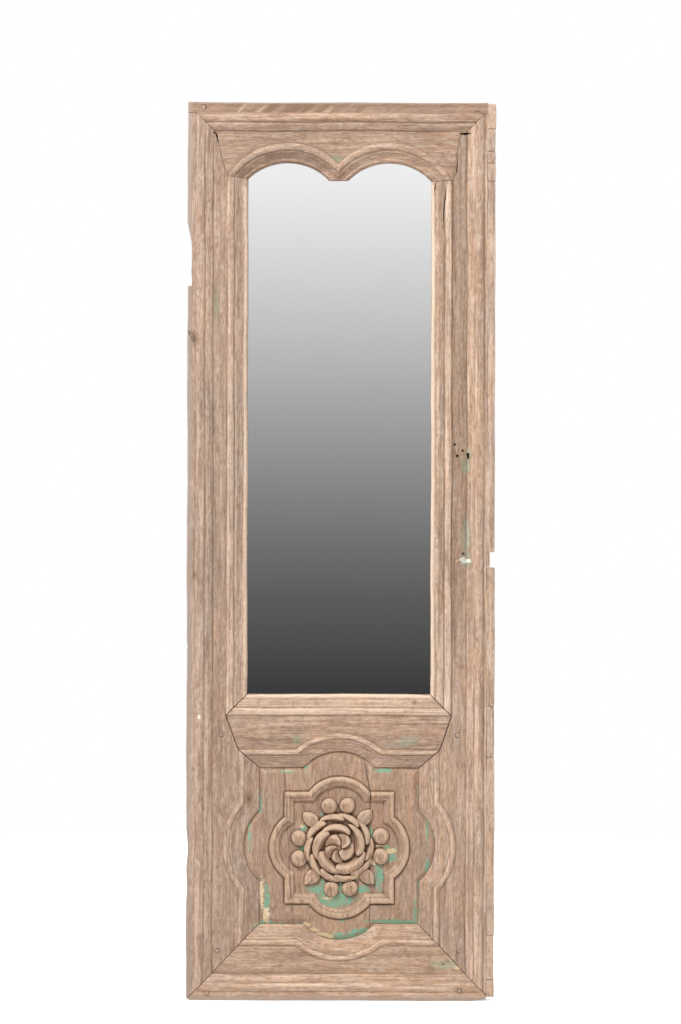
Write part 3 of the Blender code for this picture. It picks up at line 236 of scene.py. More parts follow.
# The left one of the two lowest buds has a cleft: the level below which they lie, then its depth, reach, top
CLEFT_BELOW, CLEFT_DEPTH, CLEFT_REACH, CLEFT_TOP = 0.23, 0.0022, 0.0012, 0.004
BUDS = (
    (-0.0186, 0.3865), (0.0180, 0.3879), (-0.0789, 0.3226), (-0.0789, 0.2818), (0.0851, 0.3271),
    (0.0846, 0.2865), (-0.0140, 0.2213), (0.0235, 0.2229),
)
LEAF_WIDTH, LEAF_TIP, LEAF_RISE, LEAF_FALL, LEAF_TIP_DROP = 0.0145, 0.0190, 0.0095, 0.40, 0.0025
LEAF_ALONG, LEAF_HALF = (-1.0, -0.55, -0.1, 0.4, 0.75, 1.0), (0.45, 0.92, 1.0, 0.78, 0.42, 0.0)
LEAVES = (
    (-0.0570, 0.3616, 139.0), (0.0545, 0.3660, 48.0), (-0.0540, 0.2436, 225.0), (0.0591, 0.2446, -47.0),
)
# Ovals where the panel has kept its old paint: X, level, half width, half height
GREEN_ON_PANEL = (
    (-0.0455, 0.221, 0.017, 0.007), (-0.010, 0.199, 0.036, 0.014), (-0.031, 0.225, 0.005, 0.016),
    (0.0045, 0.225, 0.004, 0.011), (0.049, 0.220, 0.010, 0.007), (0.0815, 0.246, 0.0075, 0.026),
    (0.107, 0.2835, 0.011, 0.007), (0.099, 0.305, 0.006, 0.004), (0.112, 0.297, 0.007, 0.006),
    (0.0655, 0.3345, 0.004, 0.010), (-0.070, 0.343, 0.005, 0.005), (-0.070, 0.303, 0.005, 0.007),
    (-0.034, 0.370, 0.003, 0.003), (0.010, 0.2525, 0.018, 0.0022), (0.008, 0.2745, 0.014, 0.0016),
    (-0.101, 0.4565, 0.015, 0.003), (0.091, 0.4590, 0.017, 0.003), (-0.0663, 0.470, 0.004, 0.010),
    (-0.1577, 0.391, 0.003, 0.018), (-0.1432, 0.201, 0.005, 0.026), (-0.147, 0.154, 0.012, 0.004),
    (0.0102, 0.127, 0.028, 0.006), (0.048, 0.137, 0.020, 0.005), (0.113, 0.1565, 0.048, 0.0035),
    (0.154, 0.178, 0.003, 0.020), (0.178, 0.265, 0.004, 0.014), (0.178, 0.340, 0.002, 0.030),
    (0.010, 0.1586, 0.007, 0.0025), (-0.178, 0.33, 0.002, 0.03),
)
CREAM_ON_PANEL = (
    (-0.1535, 0.211, 0.0035, 0.022), (-0.1440, 0.167, 0.005, 0.013), (-0.0630, 0.1490, 0.006, 0.004),
    (-0.0500, 0.1400, 0.009, 0.0035), (-0.0320, 0.1305, 0.011, 0.003), (-0.0180, 0.1265, 0.008, 0.003),
    (0.0686, 0.2757, 0.005, 0.004), (0.088, 0.3075, 0.008, 0.0012), (0.106, 0.2975, 0.010, 0.004),
    (-0.0736, 0.3468, 0.003, 0.0025), (0.0366, 0.245, 0.005, 0.004), (-0.100, 0.4580, 0.010, 0.0012),
    (-0.020, 0.202, 0.010, 0.002),
)

# Edge strips
EDGE_STRIP_WIDTH, EDGE_STRIP_THICKNESS = 0.015, 0.041
EDGE_LEVELS = (
    0.008, 0.0426, 0.1306, 0.4872, 0.5896, 0.8666, 0.8966, 1.6386, 1.6746, 1.6986, 1.743, 1.793,
)
NOTCH_LEVEL, NOTCH_FLOOR = 0.8666, 0.0056
EDGE_STRIP_OVER, STRIP_GLUE, STRIP_ROUND, NOTCH_DROP = 0.0012, 0.0001, 0.0016, 0.001
NOTCH_STRIP, PATCH_STRIP = 6, 4
# How a strip is planed: step along it, its shift, wear of its ends, how far edge and face stand in and wave
STRIP_STEP, STRIP_SHIFT, STRIP_END = 0.012, 0.0005, 0.0012
STRIP_EDGE_IN, STRIP_EDGE_WAVE, STRIP_FACE_IN, STRIP_FACE_WAVE = 0.0006, 0.00035, 0.0004, 0.0003
RUBBED_EDGE, RUBBED_FACE, RUBBED_STRIP = 0.0026, 0.0030, 0.5

# Remnants of old paint on the frame: colour, X, level, half width, half height
PAINT = (
    ("green", -0.0828, 0.5196, 0.007, 0.008), ("green", 0.1410, 0.5182, 0.015, 0.008),
    ("green", 0.1180, 0.5120, 0.012, 0.003), ("green", -0.0065, 1.6850, 0.012, 0.007),
    ("green", 0.2062, 0.0710, 0.022, 0.008), ("cream", 0.2398, 0.0650, 0.006, 0.0025),
    ("green", 0.2520, 1.0720, 0.009, 0.014), ("green", 0.2590, 1.0950, 0.006, 0.010),
    ("green", 0.2540, 0.9250, 0.007, 0.034), ("green", 0.2560, 0.8800, 0.009, 0.012),
    ("white", 0.2470, 0.8826, 0.0062, 0.0050), ("white", 0.2556, 0.8800, 0.0058, 0.0030),
    ("cream", 0.2355, 0.8795, 0.003, 0.002), ("white", -0.2791, 0.5671, 0.0025, 0.0035),
    ("green", -0.1650, 0.1480, 0.010, 0.003), ("green", -0.2470, 1.3900, 0.004, 0.030),
)
# Knots and dark stains: X, level, half width, half height
KNOTS = (
    (0.152, 0.596, 0.006, 0.004), (-0.1791, 0.4021, 0.007, 0.012), (-0.2891, 0.8498, 0.005, 0.011),
    (0.2713, 1.7773, 0.005, 0.003), (0.2833, 1.7733, 0.005, 0.003), (-0.292, 1.322, 0.012, 0.016),
)
# Each member's finish: warmth, wear, tint, darkness of its flat field and how much of that reaches the foot
WOODS = {
    "stile_left": (0.25, 1.0, (1.00, 0.98, 0.95), 0.88),
    "stile_right": (0.80, 1.0, (1.06, 1.05, 1.03), 0.68, 0.35),
    "top_rail": (0.50, 1.0, (0.97, 0.92, 0.87), 0.86),
    "mid_rail": (0.70, 1.0, (1.07, 1.03, 0.99), 0.83),
    "bottom_rail": (0.90, 1.0, (1.14, 1.12, 1.08), 0.84),
}
# The panel boards' tint darkens them, partly as greyer wood and partly as painted shade where they lie sunk
# in the frame
BOARD_WARMTHS, BOARD_WEAR, BOARD_TINT_AND_SHADE = (0.35, 0.55, 0.60), 0.80, (0.90, 0.84, 0.77)
# Heights over which old paint begins, and how the field's darkness fades with height and towards the foot
PAINTED_HEIGHTS, FIELD_BLEND, FOOT_BLEND = (0.012, 0.020), (0.0028, 0.0010), (-1.15, -0.85)

# Stage. Lamps: name, place, width and watts. The mirror's view: rise of the reflected ray and its grey
LAMP_AIM = (0.0, 0.0, -0.8)
LAMPS = (
    ("key_lamp", (-1.7, -3.2, 2.8), 1.3, 272.0), ("fill_lamp", (2.6, -4.6, 0.2), 2.4, 22.0),
    ("back_lamp", (1.2, 3.6, 1.4), 2.2, 110.0),
)
MIRRORED_REACH = 0.2
MIRRORED = (
    (-0.200, 0.30), (-0.120, 0.10), (-0.075, 0.045), (-0.0593, 0.049), (-0.0293, 0.117), (-0.0126, 0.172),
    (0.0040, 0.244), (0.0207, 0.330), (0.0373, 0.429), (0.0707, 0.657), (0.1040, 0.897), (0.1107, 0.94),
    (0.200, 1.0),
)
ROOM_LIGHT, FLOOR_GLOW, FLOOR_RADIUS, FLOOR_DROP = 0.24, 0.62, 3.2, 0.0005
CAMERA_X, CAMERA_LEVEL, CAMERA_FRONT, CAMERA_ROLL = 0.0026, 0.9766, 0.035, -0.15
SENSOR_WIDTH, FRAME_HEIGHT, FAR_CLIP = 36.0, 2.048, 60.0


def size(name):
    return getattr(bpy.context.scene.leaf_size, name)


def colour(name):
    return tuple(getattr(bpy.context.scene.leaf_colour, name)) + (1.0,)


# Settings that a user would change


def tone(name, description, default):
    return bpy.props.FloatVectorProperty(
        name=name, description=description, default=default, subtype="COLOR", size=3, min=0.0, max=1.0,
    )


def length(name, description, default):
    return bpy.props.FloatProperty(
        name=name, description=description, default=default, min=0.0, subtype="DISTANCE", unit="LENGTH",
        precision=5,
    )


class LEAF_PG_size(bpy.types.PropertyGroup):
    top_gap: length("Top joint gap", "Open width of the joints of the top rail", 0.0008)
    mid_gap: length("Middle joint gap", "Open width of the joints of the middle rail", 0.0019)
    bottom_gap: length("Bottom joint gap", "Open width of the joints of the bottom rail", 0.0014)
    strip_gap: length("Strip gap", "Open width between two lengths of edge strip", 0.0012)
    waviness: length("Waviness", "How far the hand-planed mouldings wander", 0.0006)
    carving_step: length("Carving step", "Spacing of the points that carry the carving", 0.00095)
    camera_distance: length("Camera distance", "From the camera to the leaf's face", 6.0)


class LEAF_PG_colour(bpy.types.PropertyGroup):
    teak: tone("Teak", "Washed teak, most of the wood", (0.455, 0.325, 0.252))
    teak_warm: tone("Warm teak", "Browner wood of the right side and the foot", (0.520, 0.338, 0.222))
    teak_light: tone("Light teak", "Pale bands of the grain", (0.650, 0.478, 0.370))
    teak_dark: tone("Dark teak", "Dark bands of the grain", (0.290, 0.186, 0.130))
    saw_mark: tone("Saw mark", "Brown saw marks along the top band", (0.250, 0.150, 0.098))
    teak_grey: tone("Grey teak", "Weathered, greyer wood", (0.385, 0.302, 0.250))
    teak_pink: tone("Pink teak", "Rosy patches", (0.640, 0.425, 0.345))
    wash: tone("Whitewash", "Remains of the pale wash", (0.660, 0.560, 0.490))
    # The worn-edge colour also paints light on the sill moulding and on the stiles' mouldings
    arris: tone("Worn edge", "Rubbed crests of the mouldings", (0.850, 0.660, 0.515))
    # The dirt colour also stands for painted shade: in the quirks, on slopes that face away from the light,
    # in holes and cracks, beside the frame and in the carving's hollows
    dirt: tone("Dirt", "Old dirt in quirks, joints and pores", (0.118, 0.062, 0.031))
    strip: tone("Edge strip", "Younger wood of the edge strips", (0.600, 0.415, 0.290))
    patch: tone("Patch strip", "The palest, newest length of edge strip", (0.610, 0.450, 0.330))
    peg: tone("Peg", "End grain of the pegs", (0.40, 0.265, 0.195))
    green: tone("Green paint", "Old turquoise paint", (0.205, 0.500, 0.380))
    green_dull: tone("Dull green paint", "Thin paint that the wood shows through", (0.300, 0.365, 0.250))
    cream: tone("Cream paint", "Old cream paint", (0.760, 0.600, 0.370))
    white: tone("White paint", "Flecks of white paint", (0.860, 0.860, 0.790))
    ply: tone("Plywood", "Backing board and glazing strips", (0.50, 0.36, 0.23))
    steel: tone("Steel", "Hangers, pins and brads", (0.52, 0.51, 0.49))
    silver: tone("Silvering", "Tint of the mirror", (0.90, 0.90, 0.90))


# Shader maths written as sums


class Value:
    """A socket of a finish. A sum written on it adds the Math nodes."""

    def __init__(self, finish, socket):
        self.finish, self.socket = finish, socket

    def sum(self, operation, *others):
        return self.finish.add("ShaderNodeMath", {"operation": operation}, dict(enumerate((self, *others))))

    def __add__(self, other):
        return self.sum("ADD", other)

    def __sub__(self, other):
        return self.sum("SUBTRACT", other)

    def __rsub__(self, other):
        return self.finish.add("ShaderNodeMath", {"operation": "SUBTRACT"}, {0: other, 1: self})

    def __mul__(self, other):
        return self.sum("MULTIPLY", other)

    def highest(self, other):
        return self.sum("MAXIMUM", other)

    def between(self, low, high):
        """0 at low and 1 at high, eased, whichever is greater."""
        sockets = {"Value": self, "From Min": low, "From Max": high, "To Min": 0.0, "To Max": 1.0}
        return self.finish.add("ShaderNodeMapRange", {"interpolation_type": "SMOOTHSTEP"}, sockets)


class Finish:
    """A material, with one method that adds any node."""

    def __init__(self, name, owner=None):
        self.material = owner or bpy.data.materials.new(name)
        self.material.use_nodes = True
        self.tree = self.material.node_tree
        self.shader = self.tree.nodes.get("Principled BSDF")

    def add(self, kind, settings=None, sockets=None, out=0):
        node = self.tree.nodes.new(kind)
        for key, setting in (settings or {}).items():
            if key == "stops":
                stops = node.color_ramp.elements
                while len(stops) < len(setting):
                    stops.new(1.0)
                for stop, (position, shade) in zip(stops, setting):
                    stop.position, stop.color = position, shade
            else:
                setattr(node, key, setting)
        for key, value in (sockets or {}).items():
            if isinstance(value, Value):
                self.tree.links.new(value.socket, node.inputs[key])
            else:
                node.inputs[key].default_value = value
        return Value(self, node.outputs[out])

    def mix(self, below, above, share, how="MIX"):
        settings = {"data_type": "RGBA", "blend_type": how, "clamp_factor": True}
        return self.add("ShaderNodeMix", settings, {0: share, 6: below, 7: above}, 2)

    def place(self):
        return self.add("ShaderNodeTexCoord", out=3)

    def mapped(self, vector, scale, location=(0.0, 0.0, 0.0)):
        return self.add("ShaderNodeMapping", None, {"Vector": vector, "Scale": scale, "Location": location})

    def noise(self, vector, scale, detail=4.0, roughness=0.55, distortion=0.0):
        sockets = {"Scale": scale, "Detail": detail, "Roughness": roughness, "Distortion": distortion}
        return self.add("ShaderNodeTexNoise", None, {"Vector": vector, **sockets})

    def kept(self, name):
        return self.add("ShaderNodeAttribute", {"attribute_name": name}, None, 2)

    def axis(self, vector, number):
        return self.add("ShaderNodeSeparateXYZ", None, {0: vector}, number)

    def bumped(self, height, strength, distance):
        sockets = {"Strength": strength, "Distance": distance, "Height": height}
        self.feed("Normal", self.add("ShaderNodeBump", None, sockets))

    def feed(self, socket, value):
        if isinstance(value, Value):
            self.tree.links.new(value.socket, self.shader.inputs[socket])
        else:
            self.shader.inputs[socket].default_value = value


def patch_share(look, place, ragged, spot):
    """1 inside a ragged, flaking oval on the leaf's face, 0 outside it."""
    x, level, half_width, half_height = spot
    scale = (1 / half_width, 0.0, 1 / half_height)
    centre = (-x / half_width, 0.0, -(level - ORIGIN_LEVEL) / half_height)
    away = look.mapped(place, scale, centre)
    reach = look.add("ShaderNodeVectorMath", {"operation": "LENGTH"}, {0: away}, 1)
    return (ragged + 1.35 - reach * 0.6).between(0.55, 0.80)


def spots_in(box, spots, first):
    """The listed spots that lie on the piece in this box."""
    (left, _, low), (right, _, high) = box
    found = []
    for spot in spots:
        x, level, reach_x, reach_level = spot[first:]
        beside = left - reach_x < x < right + reach_x
        if beside and low - reach_level < level - ORIGIN_LEVEL < high + reach_level:
            found.append(spot)
    return found


def spotted(look, place, wood, box, ragged, thin, height):
    """Adds the listed remains of paint and the knots that lie on the piece in this box."""
    paints = {"green": (thin, 0.38), "cream": (colour("cream"), 0.85), "white": (colour("white"), 0.9)}
    for kind, *spot in spots_in(box, PAINT, 1):
        paint, strength = paints[kind]
        share = patch_share(look, place, ragged, spot) * height.between(*PAINTED_HEIGHTS)
        wood = look.mix(wood, paint, share * strength)
    for spot in spots_in(box, KNOTS, 0):
        core = spot[:2] + tuple(reach * 0.4 for reach in spot[2:])
        wood = look.mix(wood, colour("teak_dark"), patch_share(look, place, ragged * 0.4, spot) * 0.55)
        wood = look.mix(wood, colour("dirt"), patch_share(look, place, ragged * 0.3, core) * 0.55)
    return wood


def washed_teak(
    name, grain, offset, box=None, warmth=0.3, wear=1.0, tint=(1.0, 1.0, 1.0), field=1.0, foot=1.0,
    painted=False, base=None, sawn=False,
):
    """Bleached old teak: long grain, weathered bands, rubbed crests, painted light on some mouldings, dirt
    and painted shade in the quirks, painted shade on some slopes, holes and hollows, and old paint.
    """
    look = Finish(name)
    place = look.place()
    shift = (offset, offset * 0.7, offset * 1.3)

    def drawn(stretch):
        scale = {"X": (1.0, stretch, stretch), "Z": (stretch, stretch, 1.0)}[grain]
        return look.mapped(place, scale, shift)

    long_grain, short_grain = drawn(22.0), drawn(9.0)
    figure = look.noise(long_grain, 2.4, 5.0, 0.60, 0.8)
    streak = look.noise(long_grain, 8.0, 6.0, 0.68, 0.4)
    dash = look.noise(short_grain, 75.0, 4.0, 0.62)
    patch = look.noise(drawn(4.5), 30.0, 5.0, 0.66, 0.5)
    pore = look.noise(short_grain, 130.0, 3.0, 0.60)
    cloud = look.noise(drawn(1.0), 6.5, 4.0, 0.55)
    blush = look.noise(short_grain, 6.0, 4.0, 0.60)
    mottle = look.noise(place, 85.0, 6.0, 0.70)
    flake = look.noise(place, 260.0, 5.0, 0.70)
    relief, grime = look.kept("relief"), look.kept("grime")
    height, level = look.axis(place, 1) * -1.0, look.axis(place, 2)
    if base:
        wood = look.mix(colour(base), colour("teak_warm"), blush.between(0.45, 0.65) * 0.35)
    else:
        warm = blush.between(0.62 - 0.3 * warmth, 0.80 - 0.3 * warmth)
        wood = look.mix(colour("teak"), colour("teak_warm"), warm)
    grained = 0.48 if painted else 1.0
    layers = (
        ("teak_light", figure, 0.52, 0.66, 0.66 * grained), ("teak_dark", figure, 0.48, 0.35, 0.56 * grained),
        ("teak_grey", cloud, 0.49, 0.61, 0.80 - 0.4 * warmth), ("teak_pink", blush, 0.53, 0.66, 0.32),
        ("teak_light", streak, 0.51, 0.65, 0.62 * grained), ("teak_dark", streak, 0.49, 0.35, 0.70 * grained),
        ("wash", patch, 0.53, 0.66, 0.42), ("teak_dark", patch, 0.48, 0.34, 0.66),
        ("teak_dark", cloud, 0.50, 0.36, 0.35 if painted else 0.0), ("teak_light", dash, 0.53, 0.65, 0.50),
        ("teak_dark", dash, 0.48, 0.36, 0.76),
    )
    for shade, pattern, low, high, share in layers:
        if share:
            wood = look.mix(wood, colour(shade), pattern.between(low, high) * share)
    wash = (mottle * 0.6 + streak * 0.4).between(0.50, 0.64) * cloud.between(0.58, 0.42)
    wood = look.mix(wood, colour("wash"), wash * 0.55)
    # crest pales the rubbed crests as wear and also lays the painted light; quirk darkens the quirks with
    # dirt and painted shade, and the slopes that face away from the light with painted shade
    crest = (relief + (streak - 0.5) * 1.2 + (mottle - 0.5) * 0.8 + (cloud - 0.5) * 0.8).between(0.05, 0.75)
    wood = look.mix(wood, colour("arris"), crest * (0.72 * wear))
    quirk = (relief * -1.0 + (mottle - 0.5) * 0.9 + (cloud - 0.5) * 1.2).between(0.20, 1.00)
    # Painted shade, with some dirt, in holes and cracks, beside the frame, on the sunk ground and in the
    # carving's hollows
    shade_and_dirt_share = (grime + (mottle - 0.5) * 0.5).between(0.20, 1.0)
    for share in (pore.between(0.41, 0.30) * 0.60, quirk * 0.58, shade_and_dirt_share * 0.82):
        wood = look.mix(wood, colour("dirt"), share)
    ragged = (mottle - 0.5) * 1.7 + (flake - 0.5) * 1.7
    bright = (flake * 0.5 + mottle * 0.5).between(0.40, 0.56)
    thin = look.mix(colour("green_dull"), colour("green"), bright * (1.0 if painted else 0.45))
    if painted:
        pale = look.mix(colour("cream"), colour("white"), flake.between(0.52, 0.62))
        wood = look.mix(wood, thin, (look.kept("green") + ragged).between(0.56, 0.86) * 0.90)
        wood = look.mix(wood, pale, (look.kept("cream") + ragged).between(0.50, 0.74) * 0.94)
    if box:
        wood = spotted(look, place, wood, box, ragged, thin, height)
    off_field = (height - FIELD_THICKNESS).sum("ABSOLUTE")
    flat = off_field.between(*FIELD_BLEND) * (level.between(*FOOT_BLEND) * (1 - foot) + foot)
    wood = look.mix(wood, (*tint, 1), 1.0, "MULTIPLY")
    wood = look.mix(wood, (field, field * 0.99, field * 0.97, 1), flat, "MULTIPLY")
    if sawn:
        wood = sawn_band(look, place, wood, mottle)
    look.feed("Base Color", grey_rim(look, place, wood, mottle))
    look.feed("Roughness", (streak * 0.22 + 0.66) + crest * -0.06)
    grains = streak * 0.30 + dash * 0.25 + pore.between(0.44, 0.28) * -0.5 + mottle * 0.30
    look.bumped(grains, 0.6, 0.0010)
    look.feed("Specular IOR Level", 0.22)
    return look.material


def sawn_band(look, place, wood, mottle):
    """Slanting saw marks and greyer wood along the top band."""
    turn = (0.0, math.radians(38), 0.0)
    turned = look.add("ShaderNodeMapping", None, {"Vector": place, "Rotation": turn})
    sawing = look.noise(look.mapped(turned, (6.0, 6.0, 34.0)), 2.0, 3.0, 0.5)
    x, level = look.axis(place, 0), look.axis(place, 2)
    band = level.between(0.0290, 0.0305)
    span = x.between(-0.235, -0.20) * x.between(0.10, -0.02)
    edge = (level + (mottle - 0.5) * 0.012).between(0.036, 0.049)
    grey = look.mix(wood, colour("teak_grey"), band * 0.35)
    grey = look.mix(grey, (0.90, 0.84, 0.78, 1), band, "MULTIPLY")
    grey = look.mix(grey, (0.74, 0.70, 0.66, 1), edge, "MULTIPLY")
    grey = look.mix(grey, colour("teak_light"), sawing.between(0.45, 0.36) * band * span * 0.55)
    return look.mix(grey, colour("saw_mark"), sawing.between(0.47, 0.60) * band * (span * 0.70 + 0.25))


def grey_rim(look, place, wood, mottle):
    """Weathered grey along the outermost edges of the leaf."""
    ragged = (mottle - 0.5) * 0.010
    x, level = look.axis(place, 0) + ragged, look.axis(place, 2) + ragged
    head = LEAF_LEVEL - ORIGIN_LEVEL
    left = x.between(-LEAF_LEFT + 0.0140, -LEAF_LEFT + 0.0030)
    top = level.between(head - 0.0045, head - 0.0020)
    foot = level.between(-ORIGIN_LEVEL + 0.0140, -ORIGIN_LEVEL + 0.0020)
    return look.mix(wood, colour("teak_grey"), left.highest(top).highest(foot) * 0.82)


# Modelling helpers


def at(x, height, level):
    return Vector((x, -height, level - ORIGIN_LEVEL))


def pick(*pieces):
    """Selects these pieces and makes the first of them active."""
    bpy.ops.object.select_all(action="DESELECT")
    for piece in pieces:
        piece.select_set(True)
    bpy.context.view_layer.objects.active = pieces[0]


def edit(piece):
    pick(piece)
    bpy.ops.object.mode_set(mode="EDIT")


def done():
    bpy.ops.object.mode_set(mode="OBJECT")


def face_out():
    """Turns every face of the piece in hand outwards and leaves edit mode."""
    bpy.ops.mesh.select_all(action="SELECT")
    bpy.ops.mesh.normals_make_consistent(inside=False)
    done()


def spots_of(piece):
    """The places of the piece's points, one row each."""
    spots = np.empty(len(piece.data.vertices) * 3)
    piece.data.vertices.foreach_get("co", spots)
    return spots.reshape(-1, 3)


def loop_on(name, ring, filled=False):
    """A circle whose points are drawn out onto the ring."""
    bpy.ops.object.select_all(action="DESELECT")
    bpy.ops.mesh.primitive_circle_add(vertices=len(ring), fill_type="NGON" if filled else "NOTHING")
    piece = bpy.context.object
    piece.name = piece.data.name = name
    for vert, spot in zip(piece.data.vertices, ring):
        vert.co = spot
    return piece


def run_on(name, rings, filled=False):
    """Starts a loop on the first ring and extrudes it from ring to ring."""
    piece = loop_on(name, rings[0], filled)
    edit(piece)
    bpy.ops.mesh.select_all(action="SELECT")
    count = len(rings[0])
    order = {i: i for i in range(count)}
    for ring in rings[1:]:
        if filled:
            bpy.ops.mesh.extrude_region()
        else:
            bpy.ops.mesh.extrude_edges_indiv()
        bm = bmesh.from_edit_mesh(piece.data)
        bm.verts.ensure_lookup_table()
        bm.verts.index_update()
        drawn = {}
        for vert in bm.verts[-count:]:
            below = next(e.other_vert(vert) for e in vert.link_edges if not e.other_vert(vert).select)
            drawn[vert.index] = order[below.index]
            vert.co = ring[order[below.index]]
        order = drawn
        bmesh.update_edit_mesh(piece.data)
    done()
    return piece


def outwards(piece):
    edit(piece)
    bpy.ops.mesh.select_all(action="SELECT")
    bpy.ops.mesh.remove_doubles(threshold=0.00001)
    face_out()
    return piece


def prism(name, outline, back, front):
    low = [at(x, back, level) for x, level in outline]
    high = [at(x, front, level) for x, level in outline]
    return outwards(run_on(name, [low, high], filled=True))


def box(name, left, right, back, front, low, high):
    return prism(name, ((left, low), (right, low), (right, high), (left, high)), back, front)


def rod(name, x, level, back, front, radius, sides=20):
    turns = [math.tau * i / sides for i in range(sides)]
    outline = [(x + radius * math.cos(t), level + radius * math.sin(t)) for t in turns]
    return prism(name, outline, back, front)


def combine(piece, tool, operation, keep_tool=False):
    modifier = piece.modifiers.new(operation.title(), "BOOLEAN")
    modifier.operation, modifier.solver, modifier.object = operation, "MANIFOLD", tool
    pick(piece)
    bpy.ops.object.modifier_apply(modifier=modifier.name)
    if not keep_tool:
        bpy.data.objects.remove(tool, do_unlink=True)
    return piece


def copy_of(piece, name):
    twin = piece.copy()
    twin.data = piece.data.copy()
    twin.name = twin.data.name = name
    bpy.context.scene.collection.objects.link(twin)
    return twin


def grown(points, distance):
    """The outline, which runs anticlockwise, with each side moved outwards."""
    moved = []
    for i in range(len(points)):
        here = Vector(points[i])
        first = (here - Vector(points[i - 1])).normalized()
        second = (Vector(points[(i + 1) % len(points)]) - here).normalized()
        bisector = Vector((first.y, -first.x)) + Vector((second.y, -second.x))
        moved.append(tuple(here + bisector * (2 * distance / bisector.length_squared)))
    return moved


def crossed(points, places):
    """The outline with an extra point wherever it crosses one of the given X places."""
    found = []
    for here, after in zip(points, points[1:] + points[:1]):
        found.append(here)
        hits = []
        for x in places:
            if (here[0] - x) * (after[0] - x) < 0:
                share = (x - here[0]) / (after[0] - here[0])
                hits.append((share, (x, here[1] + (after[1] - here[1]) * share)))
        found.extend(point for _, point in sorted(hits))
    return found


def spaced(points, counts):
    """The outline with each side cut into its number of equal steps."""
    found = []
    for here, after, count in zip(points, points[1:] + points[:1], counts):
        for k in range(count):
            share = k / count
            found.append((here[0] + (after[0] - here[0]) * share, here[1] + (after[1] - here[1]) * share))
    return found


def counts_of(points):
    return [max(1, round(math.dist(p, q) / RUN_STEP)) for p, q in zip(points, points[1:] + points[:1])]


def softened(shares):
    """The profile with its corners cut twice, as wear rounds them."""
    for _ in range(2):
        cut = [shares[0]]
        for (a, b), (c, d) in zip(shares, shares[1:]):
            cut += [(0.75 * a + 0.25 * c, 0.75 * b + 0.25 * d), (0.25 * a + 0.75 * c, 0.25 * b + 0.75 * d)]
        shares = cut + [shares[-1]]
    return shares


def profile(shares, width, thickness, pale_to=0.0):
    """Distance across, height and relief of each line of a moulding. Relief is how far it stands out locally,
    and the lines within pale_to of the opening are rubbed pale."""
    lines = [(share * width, rise * thickness) for share, rise in softened(shares)]
    across = np.array([line[0] for line in lines])
    height = np.array([line[1] for line in lines])
    order = np.argsort(across)
    reach = np.linspace(-NEARBY, NEARBY, 9)
    found = []
    for here, rise in lines:
        nearby = np.interp(here + reach, across[order], height[order])
        relief = float(np.clip((rise - nearby.mean()) / RELIEF_FULL, -1, 1))
        found.append((here, rise, max(relief, RUBBED) if 0 < here < pale_to else relief))
    return found


# Outlines of the frame


def border_loop(inset):
    left = -LEAF_LEFT + BAND_LEFT + inset
    right = LEAF_RIGHT - BAND_RIGHT - inset
    low = BAND_BOTTOM + inset
    high = LEAF_LEVEL - BAND_TOP - inset
    return [(left, low), (right, low), (right, high), (left, high)]


def leaf_loop(inset):
    left, right, high = -LEAF_LEFT + inset, LEAF_RIGHT - inset, LEAF_LEVEL - inset
    return [(left, inset), (right, inset), (right, high), (left, high)]


def arch_curve(radius, level, side, steps):
    """Both arches from the left foot over the cusp to the right foot."""
    points = []
    for sign in (-1, 1):
        centre = ARCH_SHIFT + sign * ARCH_SPACING
        foot = math.acos((sign * side - centre) / radius)
        cusp = math.acos(-sign * ARCH_SPACING / radius)
        first, last = (foot, cusp) if sign < 0 else (cusp, foot)
        for i in range(0 if sign < 0 else 1, steps + 1):
            angle = first + (last - first) * i / steps
            points.append(Vector((centre + radius * math.cos(angle), level + radius * math.sin(angle))))
    return points


def arches(share):
    inner = arch_curve(*ARCH_INNER, MIRROR_HALF_WIDTH, ARCH_STEPS)
    outer = arch_curve(*ARCH_OUTER, MIRROR_HALF_WIDTH + MOULDING_WIDTH, ARCH_STEPS)
    return [tuple(a.lerp(b, share)) for a, b in zip(inner, outer)]


def mirror_loop(grow):
    side, low = MIRROR_HALF_WIDTH + grow, SILL_LEVEL - grow
    return [(-side, low), (side, low)] + arches(grow / MOULDING_WIDTH)[::-1]


def lobed_loop(centre, half_width, half_height, lobe_half, lobe_rise, grow, top_share=1.0):
    """An oblong outline with a round lobe in the middle of each side, grown outwards by a width."""
    radius = (lobe_half ** 2 + lobe_rise ** 2) / (2 * lobe_rise)
    sides = ((0, -1, half_height), (1, 0, half_width), (0, 1, half_height), (-1, 0, half_width))
    growths = [grow, grow, grow * top_share, grow]
    points = []
    for k, (across, up, half) in enumerate(sides):
        normal, along = Vector((across, up)), Vector((-up, across))
        reach = half + growths[k]
        before = sides[k - 1][2] + growths[k - 1]
        points.append(tuple(centre + normal * reach - along * before))
        hub = half + lobe_rise - radius
        swing = math.acos((reach - hub) / (radius + growths[k]))
        for i in range(LOBE_STEPS + 1):
            angle = swing * (2 * i / LOBE_STEPS - 1)
            out = hub + (radius + growths[k]) * math.cos(angle)
            points.append(tuple(centre + normal * out + along * (radius + growths[k]) * math.sin(angle)))
    return points


def panel_loop(grow):
    centre = Vector((PANEL_CENTRE, PANEL_CENTRE_LEVEL))
    return lobed_loop(
        centre, PANEL_HALF_WIDTH, PANEL_HALF_HEIGHT, PANEL_LOBE_HALF, PANEL_LOBE_RISE, grow, PANEL_TOP_REACH,
    )


def end_of(corner, across, up):
    return (corner[0] + across * MITRE_REACH, corner[1] + up * MITRE_REACH)


